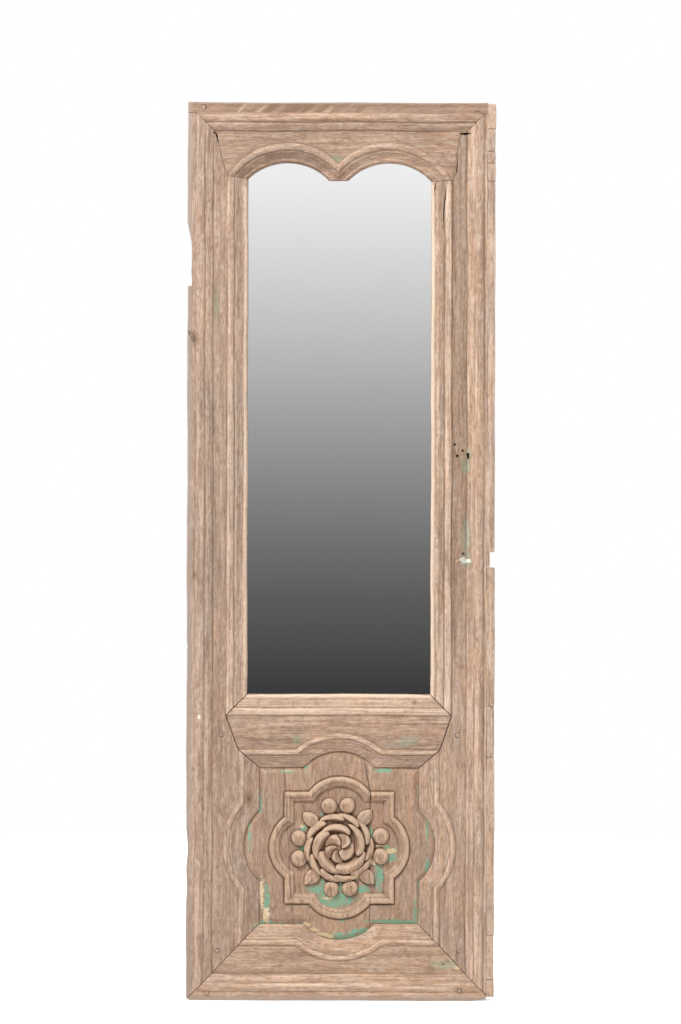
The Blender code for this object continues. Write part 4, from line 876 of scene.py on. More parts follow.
def top_outline():
    inner, outer, border, bead = arches(0), arches(1), border_loop(BORDER_WIDTH), border_loop(BEAD_INSET)
    ends = []
    for k, sign in ((0, 1), (-1, -1)):
        slope = (inner[k][1] - outer[k][1]) / (inner[k][0] - outer[k][0])
        ends.append((inner[k][0] + sign * OPENING_REACH, inner[k][1] + slope * sign * OPENING_REACH))
    return [
        ends[0], (ARCH_SHIFT, CUSP_CUT_LEVEL - CUSP_CUT_HALF), ends[1], outer[-1],
        (border[2][0] - KINK_RIGHT, border[2][1] - KINK_DROP), border[2], bead[2],
        (bead[2][0] + MITRE_REACH, bead[2][1]), (bead[2][0] + MITRE_REACH, LEAF_LEVEL + ABOVE),
        (bead[3][0] - MITRE_REACH, LEAF_LEVEL + ABOVE), (bead[3][0] - MITRE_REACH, bead[3][1]), bead[3],
        border[3], (border[3][0] + KINK_LEFT, border[3][1] - KINK_DROP), outer[0],
    ]


def panel_corner(across, up, grow):
    rise = grow * (PANEL_TOP_REACH if up > 0 else 1)
    return (
        PANEL_CENTRE + across * (PANEL_HALF_WIDTH + grow),
        PANEL_CENTRE_LEVEL + up * (PANEL_HALF_HEIGHT + rise),
    )


def mirror_corner(across, grow):
    return (across * (MIRROR_HALF_WIDTH + grow), SILL_LEVEL - grow)


def mid_outline():
    low, high = -OPENING_REACH, MOULDING_WIDTH
    return [
        panel_corner(-1, 1, low), panel_corner(1, 1, low), panel_corner(1, 1, high), mirror_corner(1, high),
        mirror_corner(1, low), mirror_corner(-1, low), mirror_corner(-1, high), panel_corner(-1, 1, high),
    ]


def bottom_outline():
    border = border_loop(BORDER_WIDTH)
    low, high = -OPENING_REACH, MOULDING_WIDTH
    return [
        end_of(border[0], -1, -1), end_of(border[1], 1, -1), border[1], panel_corner(1, -1, high),
        panel_corner(1, -1, low), panel_corner(-1, -1, low), panel_corner(-1, -1, high), border[0],
    ]


RAILS = (
    ("top_rail", top_outline, TOP_SHOULDER, 0.0, TOP_TONGUE_LEVEL, LEAF_LEVEL + ABOVE),
    ("mid_rail", mid_outline, LOW_SHOULDER, PANEL_CENTRE, MID_TONGUE_LOW, MID_TONGUE_HIGH),
    ("bottom_rail", bottom_outline, LOW_SHOULDER, PANEL_CENTRE, -ABOVE, BOTTOM_TONGUE_LEVEL),
)


# Frame


def waves(across, up, kinds):
    return sum(share * np.sin(fast * across + rising * up + phase) for share, fast, rising, phase in kinds)


def wander(points):
    """Moves points of the moulded face a little, so that the lines run as a hand plane left them."""
    x, y, z = points.T
    far = size("waviness") * np.clip((-y - WAVY_HEIGHT) / WAVY_BLEND, 0, 1)
    moves = [far * waves(x, z, kinds) for kinds in (SIDEWAYS_WAVES, FORWARD_WAVES, UPWARD_WAVES)]
    return points + np.stack(moves, axis=1)


def reshape(piece, change):
    piece.data.vertices.foreach_set("co", change(spots_of(piece)).ravel())
    piece.data.update()


def keep(piece, name, values):
    """Stores one number a point on the piece, for its finish to read."""
    mesh = piece.data
    held = mesh.attributes.get(name) or mesh.attributes.new(name, "FLOAT", "POINT")
    held.data.foreach_set("value", np.asarray(values, dtype=np.float32))


def fill_at(piece, height):
    """Fills the flat face between the open loops that lie at this height."""
    edit(piece)
    bm = bmesh.from_edit_mesh(piece.data)
    for edge in bm.edges:
        edge.select_set(edge.is_boundary and all(abs(v.co.y + height) < 1e-6 for v in edge.verts))
    bmesh.update_edit_mesh(piece.data)
    bpy.ops.mesh.fill(use_beauty=True)
    done()


def moulded_blank():
    """The whole moulded frame in one piece, and a list of (point, relief) for its face."""
    marks = []
    rings = {"border": [], "mirror": [], "panel": []}
    leaf_counts = counts_of(leaf_loop(0))

    def ring(kind, outline, counts, height, relief, share=1.0):
        spots = [at(x, height, level) for x, level in spaced(outline, counts)]
        for spot in spots:
            # dull is the share of painted shade that a line takes: the arches' inner slopes, which face down,
            # take it in full and are sunk a little, while the rest of the arches' moulding and the inner
            # slopes round the panel take part of it
            dull = 0.0
            if kind == "mirror" and share < ARCH_SLOPE_SHARE:
                dull = float(eased(ARCH_FOOT - ARCH_FOOT_BLEND, ARCH_FOOT, spot.z))
                spot.y += dull * ARCH_SLOPE * (1 - share / ARCH_SLOPE_SHARE)
            elif kind == "mirror" and spot.z > ARCH_FOOT:
                dull = ARCH_PAINTED_SHADE
            elif kind == "panel" and share < PANEL_SLOPE_SHARE:
                dull = PANEL_PAINTED_SHADE
            # Painted light: the sill moulding, which faces up, and the stiles' mouldings are made paler, the
            # right one more than the left
            painted_light = 0.0
            if kind == "mirror" and spot.z < SILL_LEVEL - ORIGIN_LEVEL:
                painted_light = SILL_PAINTED_LIGHT
            elif kind == "mirror" and spot.z < ARCH_FOOT:
                painted_light = RIGHT_PAINTED_LIGHT if spot.x > 0 else LEFT_PAINTED_LIGHT
            marks.append((spot, relief + painted_light + (SHADED - relief) * dull))
        rings[kind].append(spots)

    for inset, height, relief in EDGE_LINES:
        ring("border", leaf_loop(inset), leaf_counts, height, relief)
    ring("border", border_loop(-BAND_MARGIN), leaf_counts, BAND_THICKNESS, BAND_EDGE_RELIEF)
    for here, rise, relief in profile(BORDER_SHARES, BORDER_WIDTH, LEAF_THICKNESS):
        ring("border", border_loop(here), leaf_counts, rise, relief)
    ring("border", border_loop(BORDER_WIDTH + FIELD_REACH), leaf_counts, FIELD_THICKNESS, 0.0)
    openings = (
        ("mirror", mirror_loop, MIRROR_SHARES, RUBBED_WIDTH), ("panel", panel_loop, PANEL_SHARES, 0.0),
    )
    for kind, loop, shares, pale_to in openings:
        counts = counts_of(loop(0))
        ring(kind, loop(MOULDING_WIDTH + FIELD_REACH), counts, FIELD_THICKNESS, 0.0)
        for here, rise, relief in profile(shares, MOULDING_WIDTH, MOULDING_THICKNESS, pale_to):
            ring(kind, loop(here), counts, rise, relief, here / MOULDING_WIDTH)
        ring(kind, loop(0), counts, 0, 0.0)
    parts = [run_on(kind, rings[kind]) for kind in rings]
    pick(*parts)
    bpy.ops.object.join()
    blank = parts[0]
    blank.name = "moulded_blank"
    fill_at(blank, FIELD_THICKNESS)
    fill_at(blank, 0.0)
    edit(blank)
    face_out()
    return blank, marks


def joint_space(name, outline, shoulder, centre, low, high, grow):
    """The room that a rail takes up: its face, its shouldered body and the tongue through both stiles."""
    left, right = centre - shoulder - grow, centre + shoulder + grow
    points = crossed(grown(outline, grow - BODY_STEP), (left, right))
    middle = [p for p in points if left <= p[0] <= right]
    over = LEAF_THICKNESS + CLEAR
    face = prism(name, grown(outline, grow), LOBE_JOINT_THICKNESS - grow, over)
    body = prism(name + "_body", middle, -CLEAR, over - CLEAR / 2)
    side = LEAF_LEFT + ABOVE
    tongue = box(
        name + "_tongue", -side, side, TONGUE_BACK - grow, TONGUE_FRONT + grow, low - grow, high + grow,
    )
    return combine(combine(face, body, "UNION"), tongue, "UNION")


def worn_outline(side):
    """The corner worn away at the foot, as a curve that runs up towards the outer edge."""
    width, rise = WORN_FOOT[side]
    edge = LEAF_RIGHT + EDGE_STRIP_WIDTH if side > 0 else LEAF_LEFT
    points = [(edge - width, -CLEAR), (edge + CLEAR, -CLEAR), (edge + CLEAR, rise + CLEAR)]
    points += [(edge - share * width, rise * up) for share, up in WORN_SHARES]
    return [(side * x, level) for x, level in points][::side]


def crack_outline(points, width):
    """A narrow outline round a crack, pointed at both ends and ragged between them."""
    spots = [Vector(p) for p in points]
    fine = []
    for here, after in zip(spots, spots[1:]):
        fine += [here.lerp(after, k / 5) for k in range(5)]
    fine.append(spots[-1])
    left, right = [], []
    for i, spot in enumerate(fine):
        along = (fine[min(i + 1, len(fine) - 1)] - fine[max(i - 1, 0)]).normalized()
        side = Vector((-along.y, along.x))
        swell = math.sin(math.pi * (i + 0.15) / (len(fine) - 0.7)) * (0.75 + 0.25 * math.sin(2.3 * i))
        left.append(tuple(spot + side * (width / 2 * swell)))
        right.append(tuple(spot - side * (width / 2 * swell + 0.00008)))
    return left + right[::-1]


def bite_outline(low, high, depth):
    """A shallow, uneven bite out of the left edge."""
    points = [(-LEAF_LEFT - CLEAR, high), (-LEAF_LEFT - CLEAR, low)]
    for i in range(9):
        share = i / 8
        bite = depth * math.sin(math.pi * share) ** 0.6 * (0.8 + 0.2 * math.sin(5.1 * i))
        points.append((-LEAF_LEFT - 0.0001 + bite, low + (high - low) * share))
    return points


def hinge_outline():
    edge = -LEAF_LEFT
    floor = [(edge + HINGE_DEPTH * share, level) for share, level in HINGE_FLOOR]
    return [(edge - CLEAR, HINGE_LOW), *floor, (edge - FIT_GAP, HINGE_HIGH), (edge - CLEAR, HINGE_HIGH)]


def meets(piece, tool):
    """Whether the boxes of two pieces touch."""
    here, there = spots_of(piece), spots_of(tool)
    high = np.minimum(here.max(axis=0), there.max(axis=0))
    low = np.maximum(here.min(axis=0), there.min(axis=0))
    return bool(np.all(low <= high))


def cutters():
    """Every tool that takes wood away from the stiles and rails, with the nodes that it works on."""
    over = LEAF_THICKNESS + CLEAR
    stiles = ("stile_left", "stile_right")
    side = MIRROR_HALF_WIDTH + RABBET_WIDTH
    groove = PANEL_HALF_WIDTH + GROOVE_REACH
    up = PANEL_HALF_HEIGHT + GROOVE_REACH
    half, drop, rise, deep = POCKET
    tools = [
        (box("rabbet", -side, side, -CLEAR, RABBET_DEPTH, SILL_LEVEL - RABBET_WIDTH, RABBET_HEAD_LEVEL),
         stiles + ("top_rail", "mid_rail")),
        (box("groove", PANEL_CENTRE - groove, PANEL_CENTRE + groove, GROOVE_BACK, GROOVE_FRONT,
             PANEL_CENTRE_LEVEL - up, PANEL_CENTRE_LEVEL + up), stiles + ("mid_rail", "bottom_rail")),
        (prism("hinge_recess", hinge_outline(), -CLEAR, over), ("stile_left",)),
    ]
    for name, x in HANGER_PLACES.items():
        tools.append((
            box("pocket", x - half, x + half, -CLEAR, deep, HANGER_LEVEL - drop, HANGER_LEVEL + rise),
            (f"stile_{name}",),
        ))
    for x, level, _, rail in PEGS:
        tools.append((rod("peg_hole", x, level, -CLEAR, over, PEG_RADIUS), stiles + (rail,)))
    for x, level, radius in NAIL_HOLES:
        hole = rod("nail_hole", x, level, NAIL_HOLE_FLOOR, over, radius, NAIL_HOLE_SIDES)
        tools.append((hole, stiles + ("top_rail", "bottom_rail")))
    for points, width, floor in CRACKS:
        tools.append((prism("crack", crack_outline(points, width), floor, over), stiles + ("top_rail",)))
    for low, high, depth in BITES:
        tools.append((prism("bite", bite_outline(low, high, depth), -CLEAR, over), ("stile_left",)))
    return tools


def carve_members():
    blank, marks = moulded_blank()
    tree = kdtree.KDTree(len(marks))
    for i, (spot, _) in enumerate(marks):
        tree.insert(spot, i)
    tree.balance()
    over = LEAF_THICKNESS + CLEAR
    cusp = box(
        "cusp_cut", ARCH_SHIFT - CUSP_CUT_HALF, ARCH_SHIFT + CUSP_CUT_HALF, -CLEAR, over,
        CUSP_CUT_LEVEL - CUSP_CUT_DROP, CUSP_CUT_LEVEL,
    )
    combine(blank, cusp, "DIFFERENCE")
    for side in (1, -1):
        combine(blank, prism("worn_foot", worn_outline(side), -CLEAR, over), "DIFFERENCE")
    gaps = {f"{place}_rail": size(f"{place}_gap") / 2 for place in ("top", "mid", "bottom")}
    members = {}
    for name, outline, shoulder, centre, low, high in RAILS:
        members[name] = copy_of(blank, name + "_carved")
        space = joint_space("space", outline(), shoulder, centre, low, high, -gaps[name])
        combine(members[name], space, "INTERSECT")
    far = LEAF_LEFT + ABOVE
    halves = {"stile_left": (-far, PANEL_CENTRE), "stile_right": (PANEL_CENTRE, far)}
    for name, (left, right) in halves.items():
        members[name] = copy_of(blank, name + "_carved")
        half = box("half", left, right, -CLEAR, over, -ABOVE, LEAF_LEVEL + ABOVE)
        combine(members[name], half, "INTERSECT")
        for rail, outline, shoulder, centre, low, high in RAILS:
            space = joint_space("slot", outline(), shoulder, centre, low, high, gaps[rail])
            combine(members[name], space, "DIFFERENCE")
    bpy.data.objects.remove(blank, do_unlink=True)
    for tool, names in cutters():
        for name in names:
            if meets(members[name], tool):
                combine(members[name], tool, "DIFFERENCE", keep_tool=True)
        bpy.data.objects.remove(tool, do_unlink=True)
    for name, member in members.items():
        relief, grime = [], []
        for vert in member.data.vertices:
            _, nearest, distance = tree.find(vert.co)
            relief.append(marks[nearest][1] if distance < MARK_REACH else 0.0)
            # Painted shade: points sunk below the field and away from the moulding lines, such as the floors
            # of holes and cracks, are darkened
            buried = distance > MARK_REACH and DEEP_BELOW < -vert.co.y < FIELD_THICKNESS - 0.001
            grime.append(1.0 if buried else 0.0)
        keep(member, "relief", relief)
        keep(member, "grime", grime)
        reshape(member, wander)
        smooth(member, 38)
    return members


def smooth(piece, angle):
    pick(piece)
    bpy.ops.object.shade_smooth_by_angle(angle=math.radians(angle))


def dress(piece, node, material):
    """Gives a new piece its finish and lets it stand for its CAD node."""
    piece.data.materials.clear()
    piece.data.materials.append(material)
    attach(piece, "leaf")
    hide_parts(node)


# Carved panel


def eased(low, high, value):
    share = np.clip((value - low) / (high - low), 0, 1)
    return share * share * (3 - 2 * share)


def lobed_depth(x, level, centre, half, lobe_half, lobe_rise, top_share=1.0):
    """How far each point lies inside a lobed outline, negative outside it."""
    radius = (lobe_half ** 2 + lobe_rise ** 2) / (2 * lobe_rise)
    across, up = x - centre[0], level - centre[1]
    depth = np.minimum(half[0] - np.abs(across), np.where(up > 0, (half[1] - up) / top_share, half[1] + up))
    for way, reach, span in ((1, half[0], 0), (-1, half[0], 0), (1, half[1], 1), (-1, half[1], 1)):
        hub = way * (reach + lobe_rise - radius)
        near = np.hypot(across - hub, up) if span == 0 else np.hypot(across, up - hub)
        depth = np.maximum(depth, radius - near)
    return depth


def petal_height(reach, bearing, whorl, petal):
    """One petal: a rolled rim over a hollow, winding inward to a broad end that lies on the next petal."""
    wind, crest, hollow, _ = whorl
    angle, middle, half_angle, half_width = petal
    turn = np.clip(((bearing - angle + 180) % 360 - 180) / half_angle, -1, 1)
    half = half_width * (1 - PETAL_SKEW * turn - PETAL_TAPER * turn ** 2) * np.sqrt(1.0001 - turn ** 8)
    across = 0.5 + (reach - middle - wind * turn) / (2 * half)
    height = hollow + (crest - hollow) * np.interp(across, PETAL_ACROSS, PETAL_RISE) - PETAL_SINK * turn
    height -= PETAL_END_DROP * eased(0.70, 1.0, np.abs(turn))
    inside = (np.abs(turn) < 1) & (across > 0) & (across < 1)
    return np.where(inside, height * ROSE_THICKNESS, 0)


def heart_height(reach, bearing):
    """The five inner petals, each a slanting blade that ends in a step, turned like a windmill."""
    ends = sorted(HEART_ENDS)
    turned = (bearing - HEART_SWIRL * (reach - 0.35) - ends[0]) % 360
    starts = [end - ends[0] for end in ends] + [360]
    along = np.zeros_like(reach)
    for start, stop in zip(starts, starts[1:]):
        share = (turned - start) / (stop - start)
        along = np.where((share >= 0) & (share < 1), 1 - share, along)
    edge = HEART_REACH - HEART_SCALLOP * (2 * along - 1) ** 2
    blade = HEART_LOW + (1.0 - HEART_LOW) * along ** 0.75
    blade = blade * np.interp(reach / edge, HEART_ACROSS, HEART_RISE)
    blade = np.where(reach < HEART_EYE, HEART_EYE_SHARE, blade)
    return np.where(reach < edge, blade * ROSE_THICKNESS, 0)


def rose_height(x, level):
    across, up = x - PANEL_CENTRE - PANEL_CENTRE_SHIFT, level - ROSE_LEVEL
    reach = np.hypot(across, up) / ROSE_RADIUS
    bearing = np.degrees(np.arctan2(up, across))
    height = np.where(reach < ROSE_BASE_REACH, ROSE_BASE_SHARE * ROSE_THICKNESS, 0)
    for whorl in WHORLS:
        for petal in whorl[3]:
            height = np.maximum(height, petal_height(reach, bearing, whorl, petal))
    height = np.maximum(height, heart_height(reach, bearing))
    for k, (bud_x, bud_level) in enumerate(BUDS):
        tilt, narrow = 0.9 * math.sin(2.1 * k), 1.03 + 0.04 * math.sin(1.3 * k)
        along = (x - bud_x) * math.sin(tilt) + (level - bud_level) * math.cos(tilt)
        beside = (x - bud_x) * math.cos(tilt) - (level - bud_level) * math.sin(tilt)
        away = np.hypot(beside * narrow, along) / BUD_RADIUS
        dome = SUNK_THICKNESS + BUD_FOOT + BUD_RISE * np.clip(1 - away ** 3, 0, 1) ** 0.55
        dome = dome + BUD_TOOLING * ripple(3.1 * x + k, 2.7 * level)
        if bud_x < 0 and bud_level < CLEFT_BELOW:
            cleft = CLEFT_DEPTH * np.exp(-(((x - bud_x) / CLEFT_REACH) ** 2))
            dome = dome - cleft * (level < bud_level + CLEFT_TOP)
        height = np.maximum(height, np.where(away < 1, dome, 0))
    for leaf_x, leaf_level, angle in LEAVES:
        out = (math.cos(math.radians(angle)), math.sin(math.radians(angle)))
        along = ((x - leaf_x) * out[0] + (level - leaf_level) * out[1]) / LEAF_TIP
        side = np.abs((level - leaf_level) * out[0] - (x - leaf_x) * out[1]) / LEAF_WIDTH
        half = np.interp(along, LEAF_ALONG, LEAF_HALF, left=0, right=0)
        share = side / np.maximum(half, 1e-3)
        blade = SUNK_THICKNESS + LEAF_RISE * (1 - LEAF_FALL * share) * eased(1.0, 0.80, share) ** 0.4
        blade -= LEAF_TIP_DROP * eased(0.2, 1.0, along)
        height = np.maximum(height, np.where((share < 1) & (half > 0), blade, 0))
    return height


def ripple(x, level):
    """The uneven hand of the gouge, between about -1 and 1."""
    return waves(x, level, GOUGE_WAVES)


def panel_height(x, level):
    """Height of the carved face at each point, and how far the point lies from the frame's moulding."""
    outside = lobed_depth(
        x, level, (PANEL_CENTRE, PANEL_CENTRE_LEVEL), (PANEL_HALF_WIDTH, PANEL_HALF_HEIGHT), PANEL_LOBE_HALF,
        PANEL_LOBE_RISE,
    )
    inset = lobed_depth(
        x, level, (PANEL_CENTRE + PANEL_CENTRE_SHIFT, ROSE_LEVEL), QUATREFOIL_HALF, QUATREFOIL_LOBE_HALF,
        QUATREFOIL_LOBE_RISE,
    )
    inset = inset + MOULDING_WANDER * ripple(x, level)
    bevel = eased(0.0, GROUND_BEVEL, outside + BEVEL_TOOLING * ripple(0.5 * x, 0.5 * level))
    ground = GROUND_EDGE_THICKNESS + (GROUND_THICKNESS - GROUND_EDGE_THICKNESS) * bevel
    ground = ground + GROUND_TOOLING * ripple(x, level)
    lines = softened(QUATREFOIL_SHARES)
    moulding = np.interp(inset / QUATREFOIL_WIDTH, [a for a, _ in lines], [b for _, b in lines])
    sunk = SUNK_THICKNESS + SUNK_TOOLING * ripple(2 * x, 2 * level)
    flutes = eased(*FLUTE_LEVELS, level) * (np.abs(x - FLUTE_MIDDLE) < FLUTE_REACH)
    sunk = sunk - FLUTE_DEPTH * flutes * np.abs(np.sin(FLUTE_TURNS * x))
    quirk = QUIRK_DEPTH * np.exp(-(((inset + QUIRK_MIDDLE) / QUIRK_REACH) ** 2))
    crest = moulding * QUATREFOIL_THICKNESS + CREST_TOOLING * ripple(x, level)
    height = np.where(inset < 0, ground - quirk, crest)
    height = np.where(inset > QUATREFOIL_WIDTH, sunk, height)
    height = np.maximum(height, rose_height(x, level))
    edge = GROOVE_FRONT - FIT_GAP
    return edge + (height - edge) * eased(-0.0004, 0.0006, outside), outside


def paint_kept(x, level, ovals):
    """How likely each point is to have kept its paint: 1 well inside an oval, 0 far outside."""
    kept = np.zeros_like(x)
    for oval_x, oval_level, half_width, half_height in ovals:
        reach = np.hypot((x - oval_x) / half_width, (level - oval_level) / half_height)
        kept = np.maximum(kept, np.clip(1.35 - 0.6 * reach, 0, 1))
    return kept


def crack_at(level, side, way):
    """Where one side of a crack runs at each level."""
    places, levels = zip(*PANEL_CRACKS[side][::-1])
    width = np.interp(level, CRACK_LEVELS, CRACK_WIDTHS[side]) * 0.0001
    ragged = 0.00018 * np.sin(310 * level + 2 * way) + 0.00035 * np.sin(67 * level)
    return np.interp(level, levels, places) + ragged + way * width / 2


def stepped(low, high, near_low, near_high, step):
    """Places from low to high, close together between the two near ones and sparse outside them."""
    inner = np.linspace(near_low, near_high, max(2, round((near_high - near_low) / step)))
    return np.concatenate([[low] if low < near_low else [], inner, [high] if high > near_high else []])


def blurred(heights, reach):
    """Each height averaged with those within a number of points of it."""
    for axis in (0, 1):
        first, last = heights.take([0] * reach, axis), heights.take([-1] * reach, axis)
        total = np.cumsum(np.concatenate([first, heights, last], axis), axis)
        span = 2 * reach
        before = total.take(range(0, total.shape[axis] - span), axis)
        heights = (total.take(range(span, total.shape[axis]), axis) - before) / span
    return heights


def carved_relief(height):
    """How far each point stands out from those near it and from those farther off."""
    return sum(
        share * np.clip((height - blurred(height, near)) / full, -1, 1) for near, full, share in RELIEFS
    )


def carved_shade_and_dirt(height, outside, sunk):
    """Dirt and painted shade in hollows, painted shadow beside the frame, and painted shade on the sunk
    ground and in the joint, whichever is most.
    """
    near, full = DEEP_DIRT_AND_SHADE
    deep = np.clip((blurred(height, near) - height) / full, 0, 1)
    by_frame = FRAME_SHADOW[0] * np.exp(-np.maximum(outside, 0) / FRAME_SHADOW[1])
    on_ground = GROUND_SHADE[0] * sunk * (height < SUNK_THICKNESS + GROUND_SHADE[1])
    in_joint = JOINT_SHADE[0] * np.exp(-np.abs(outside) / JOINT_SHADE[1])
    return np.maximum.reduce([deep, by_frame, on_ground, in_joint])


def carved_board(name, left_of, right_of, near_left, near_right, slant_left, slant_right):
    """One board: a grid whose points are moved to the carved face, then drawn back and closed."""
    step = size("carving_step")
    side = PANEL_HALF_HEIGHT + GROOVE_REACH - FIT_GAP
    near = PANEL_HALF_HEIGHT + PANEL_LOBE_RISE + 0.002
    levels = PANEL_CENTRE_LEVEL + stepped(-side, side, -near, near, step)
    span = right_of(PANEL_CENTRE_LEVEL) - left_of(PANEL_CENTRE_LEVEL)
    shares = stepped(0.0, 1.0, near_left, near_right, step / span)
    columns, rows = len(shares), len(levels)
    bpy.ops.object.select_all(action="DESELECT")
    bpy.ops.mesh.primitive_grid_add(x_subdivisions=columns - 1, y_subdivisions=rows - 1, size=2.0)
    board = bpy.context.object
    board.name = board.data.name = name
    level = np.repeat(levels[:, None], columns, axis=1)
    left, right = left_of(levels)[:, None], right_of(levels)[:, None]
    x = left + (right - left) * shares[None, :]
    height, outside = panel_height(x, level)
    spots = np.stack([x, -height, level - ORIGIN_LEVEL], axis=2)
    board.data.vertices.foreach_set("co", spots.reshape(-1, 3).ravel())
    keep(board, "relief", (carved_relief(height) * (outside > 0.0005)).ravel())
    middle = (PANEL_CENTRE, ROSE_LEVEL)
    sunk = lobed_depth(x, level, middle, QUATREFOIL_HALF, QUATREFOIL_LOBE_HALF, QUATREFOIL_LOBE_RISE) > 0
    # Painted shadow and shade, with some dirt, for the finish to darken
    keep(board, "grime", carved_shade_and_dirt(height, outside, sunk).ravel())
    joint = JOINT_PAINT[0] + LOW_PAINT[0] * (level < LOW_PAINT[1]) + RIGHT_PAINT[0] * (x > RIGHT_PAINT[1])
    joint = joint * np.exp(-(outside / JOINT_PAINT[1]) ** 2) * (outside > -0.001)
    lost = RAISED_PAINT_LOST * eased(*RAISED_HEIGHTS, height) * sunk
    kept = paint_kept(x, level, GREEN_ON_PANEL) * (1 - lost)
    keep(board, "green", np.maximum(kept, joint).ravel())
    keep(board, "cream", paint_kept(x, level, CREAM_ON_PANEL).ravel())
    edit(board)
    bpy.ops.mesh.select_all(action="SELECT")
    bpy.ops.mesh.region_to_loop()
    bpy.ops.mesh.extrude_edges_indiv()
    bm = bmesh.from_edit_mesh(board.data)
    middle = float(x.mean())
    for vert in bm.verts:
        if vert.select:
            vert.co.x -= slant_left if vert.co.x < middle else slant_right
            vert.co.y = -GROOVE_BACK - FIT_GAP
    bmesh.update_edit_mesh(board.data)
    bpy.ops.mesh.edge_face_add()
    face_out()
    carved = spots_of(board)[:, 1] < -GROOVE_BACK - 0.001
    for mark in ("relief", "grime", "green", "cream"):
        values = np.empty(len(board.data.vertices), dtype=np.float32)
        board.data.attributes[mark].data.foreach_get("value", values)
        keep(board, mark, values * carved)
    smooth(board, 50)
    return board


class LEAF_OT_frame(bpy.types.Operator):
    """Carves the stiles and rails with their mouldings, arches, joints, cracks and nail holes"""

    bl_idname = "leaf.frame"
    bl_label = "Stiles and rails"

    def execute(self, context):
        for k, (name, member) in enumerate(sorted(carve_members().items())):
            grain = "Z" if name.startswith("stile") else "X"
            teak = washed_teak(
                "washed_teak_" + name, grain, 3.7 * k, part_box(name), *WOODS[name], sawn=name == "top_rail",
            )
            dress(member, name, teak)
        return {"FINISHED"}


class LEAF_OT_panel(bpy.types.Operator):
    """Carves the three panel boards with the quatrefoil, the rose, its buds and leaves"""

    bl_idname = "leaf.panel"
    bl_label = "Carved panel"

    def execute(self, context):
        side = PANEL_HALF_WIDTH + GROOVE_REACH - FIT_GAP

        def far(way):
            return lambda level: np.full(np.shape(level), PANEL_CENTRE + way * side)

        def crack(which, way):
            return lambda level: crack_at(level, which, way)

        slant = CRACK_SLANT
        boards = (
            ("panel_board_left", far(-1), crack("left", -1), 0.10, 1.0, 0.0, slant),
            ("panel_board_middle", crack("left", 1), crack("right", -1), 0.0, 1.0, slant, slant),
            ("panel_board_right", crack("right", 1), far(1), 0.0, 0.93, slant, 0.0),
        )
        for k, (name, *shape) in enumerate(boards):
            board = carved_board(name + "_carved", *shape)
            teak = washed_teak(
                "washed_teak_" + name, "Z", 11.0 + 5.3 * k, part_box(name), BOARD_WARMTHS[k], BOARD_WEAR,
                BOARD_TINT_AND_SHADE, painted=True,
            )
            dress(board, name, teak)
        return {"FINISHED"}


class LEAF_OT_pegs(bpy.types.Operator):
    """Turns the joint pegs, each with a worn and slightly domed head"""

    bl_idname = "leaf.pegs"
    bl_label = "Joint pegs"

    def execute(self, context):
        radius = PEG_RADIUS - FIT_GAP
        rings = []
        for height, share in PEG_LINES:
            ring = []
            for i in range(PEG_SIDES):
                turn = math.tau * i / PEG_SIDES
                reach = radius * share * (PEG_ROUND + PEG_FACET * math.cos(4 * turn))
                ring.append(Vector((math.cos(turn) * reach, -height, math.sin(turn) * reach)))
            rings.append(ring)
        model = outwards(run_on("peg_model", rings, filled=True))
        wood = peg_wood()
        for k, (x, level, height, _) in enumerate(PEGS):
            peg = copy_of(model, f"peg_{k + 1}")
            tall = height + PEG_PROUD if height < PEG_SUNK_ABOVE else height - PEG_SUNK
            turned = Matrix.Rotation(0.0 if k == 0 else math.radians(45 + 7 * k), 4, "Y")
            place = Matrix.Translation(at(x, PEG_START, level))
            peg.data.transform(place @ turned @ Matrix.Diagonal((1, tall, 1, 1)))
            smooth(peg, 40)
            dress(peg, f"joint_peg_{k + 1}", wood)
        bpy.data.objects.remove(model, do_unlink=True)
        return {"FINISHED"}


def peg_wood():
    """End grain of a hardwood peg, in rings with dark spots."""
    look = Finish("peg_wood")
    place = look.place()
    rings = look.noise(place, 420.0, 4.0, 0.6)
    spots = look.noise(place, 160.0, 3.0, 0.5)
    wood = look.mix(colour("peg"), colour("teak"), rings.between(0.45, 0.62))
    wood = look.mix(wood, colour("dirt"), spots.between(0.50, 0.32) * 0.6)
    look.feed("Base Color", wood)
    look.feed("Roughness", rings * 0.2 + 0.65)
    look.bumped(rings, 0.4, 0.0004)
    return look.material


class LEAF_OT_edge_strips(bpy.types.Operator):
    """Planes the butted edge strips down the right side, each a little out of line with the next"""

    bl_idname = "leaf.edge_strips"
    bl_label = "Edge strips"

    def execute(self, context):
        pale = washed_teak("pale_teak", "Z", 31.0, wear=0.5, base="strip")
        newer = washed_teak("new_teak", "Z", 43.0, wear=0.3, base="patch")
        number = 0
        for low, high in zip(EDGE_LEVELS, EDGE_LEVELS[1:]):
            if low == NOTCH_LEVEL:
                continue
            number += 1
            name = f"edge_strip_{number:02d}"
            strip = edge_strip(name + "_planed", number, low, high)
            if number == NOTCH_STRIP:
                gap = size("strip_gap")
                tongue = box(
                    "notch_floor", LEAF_RIGHT + STRIP_GLUE, LEAF_RIGHT + NOTCH_FLOOR, 0.0,
                    EDGE_STRIP_THICKNESS - NOTCH_DROP, NOTCH_LEVEL + gap, low + gap,
                )
                combine(strip, tongue, "UNION")
            if number == 1:
                over = LEAF_THICKNESS + CLEAR
                combine(strip, prism("worn_foot", worn_outline(1), -CLEAR, over), "DIFFERENCE")
            keep(strip, "grime", np.zeros(len(strip.data.vertices)))
            smooth(strip, 40)
            patch = number == PATCH_STRIP
            dress(strip, name, newer if patch else pale)
        return {"FINISHED"}


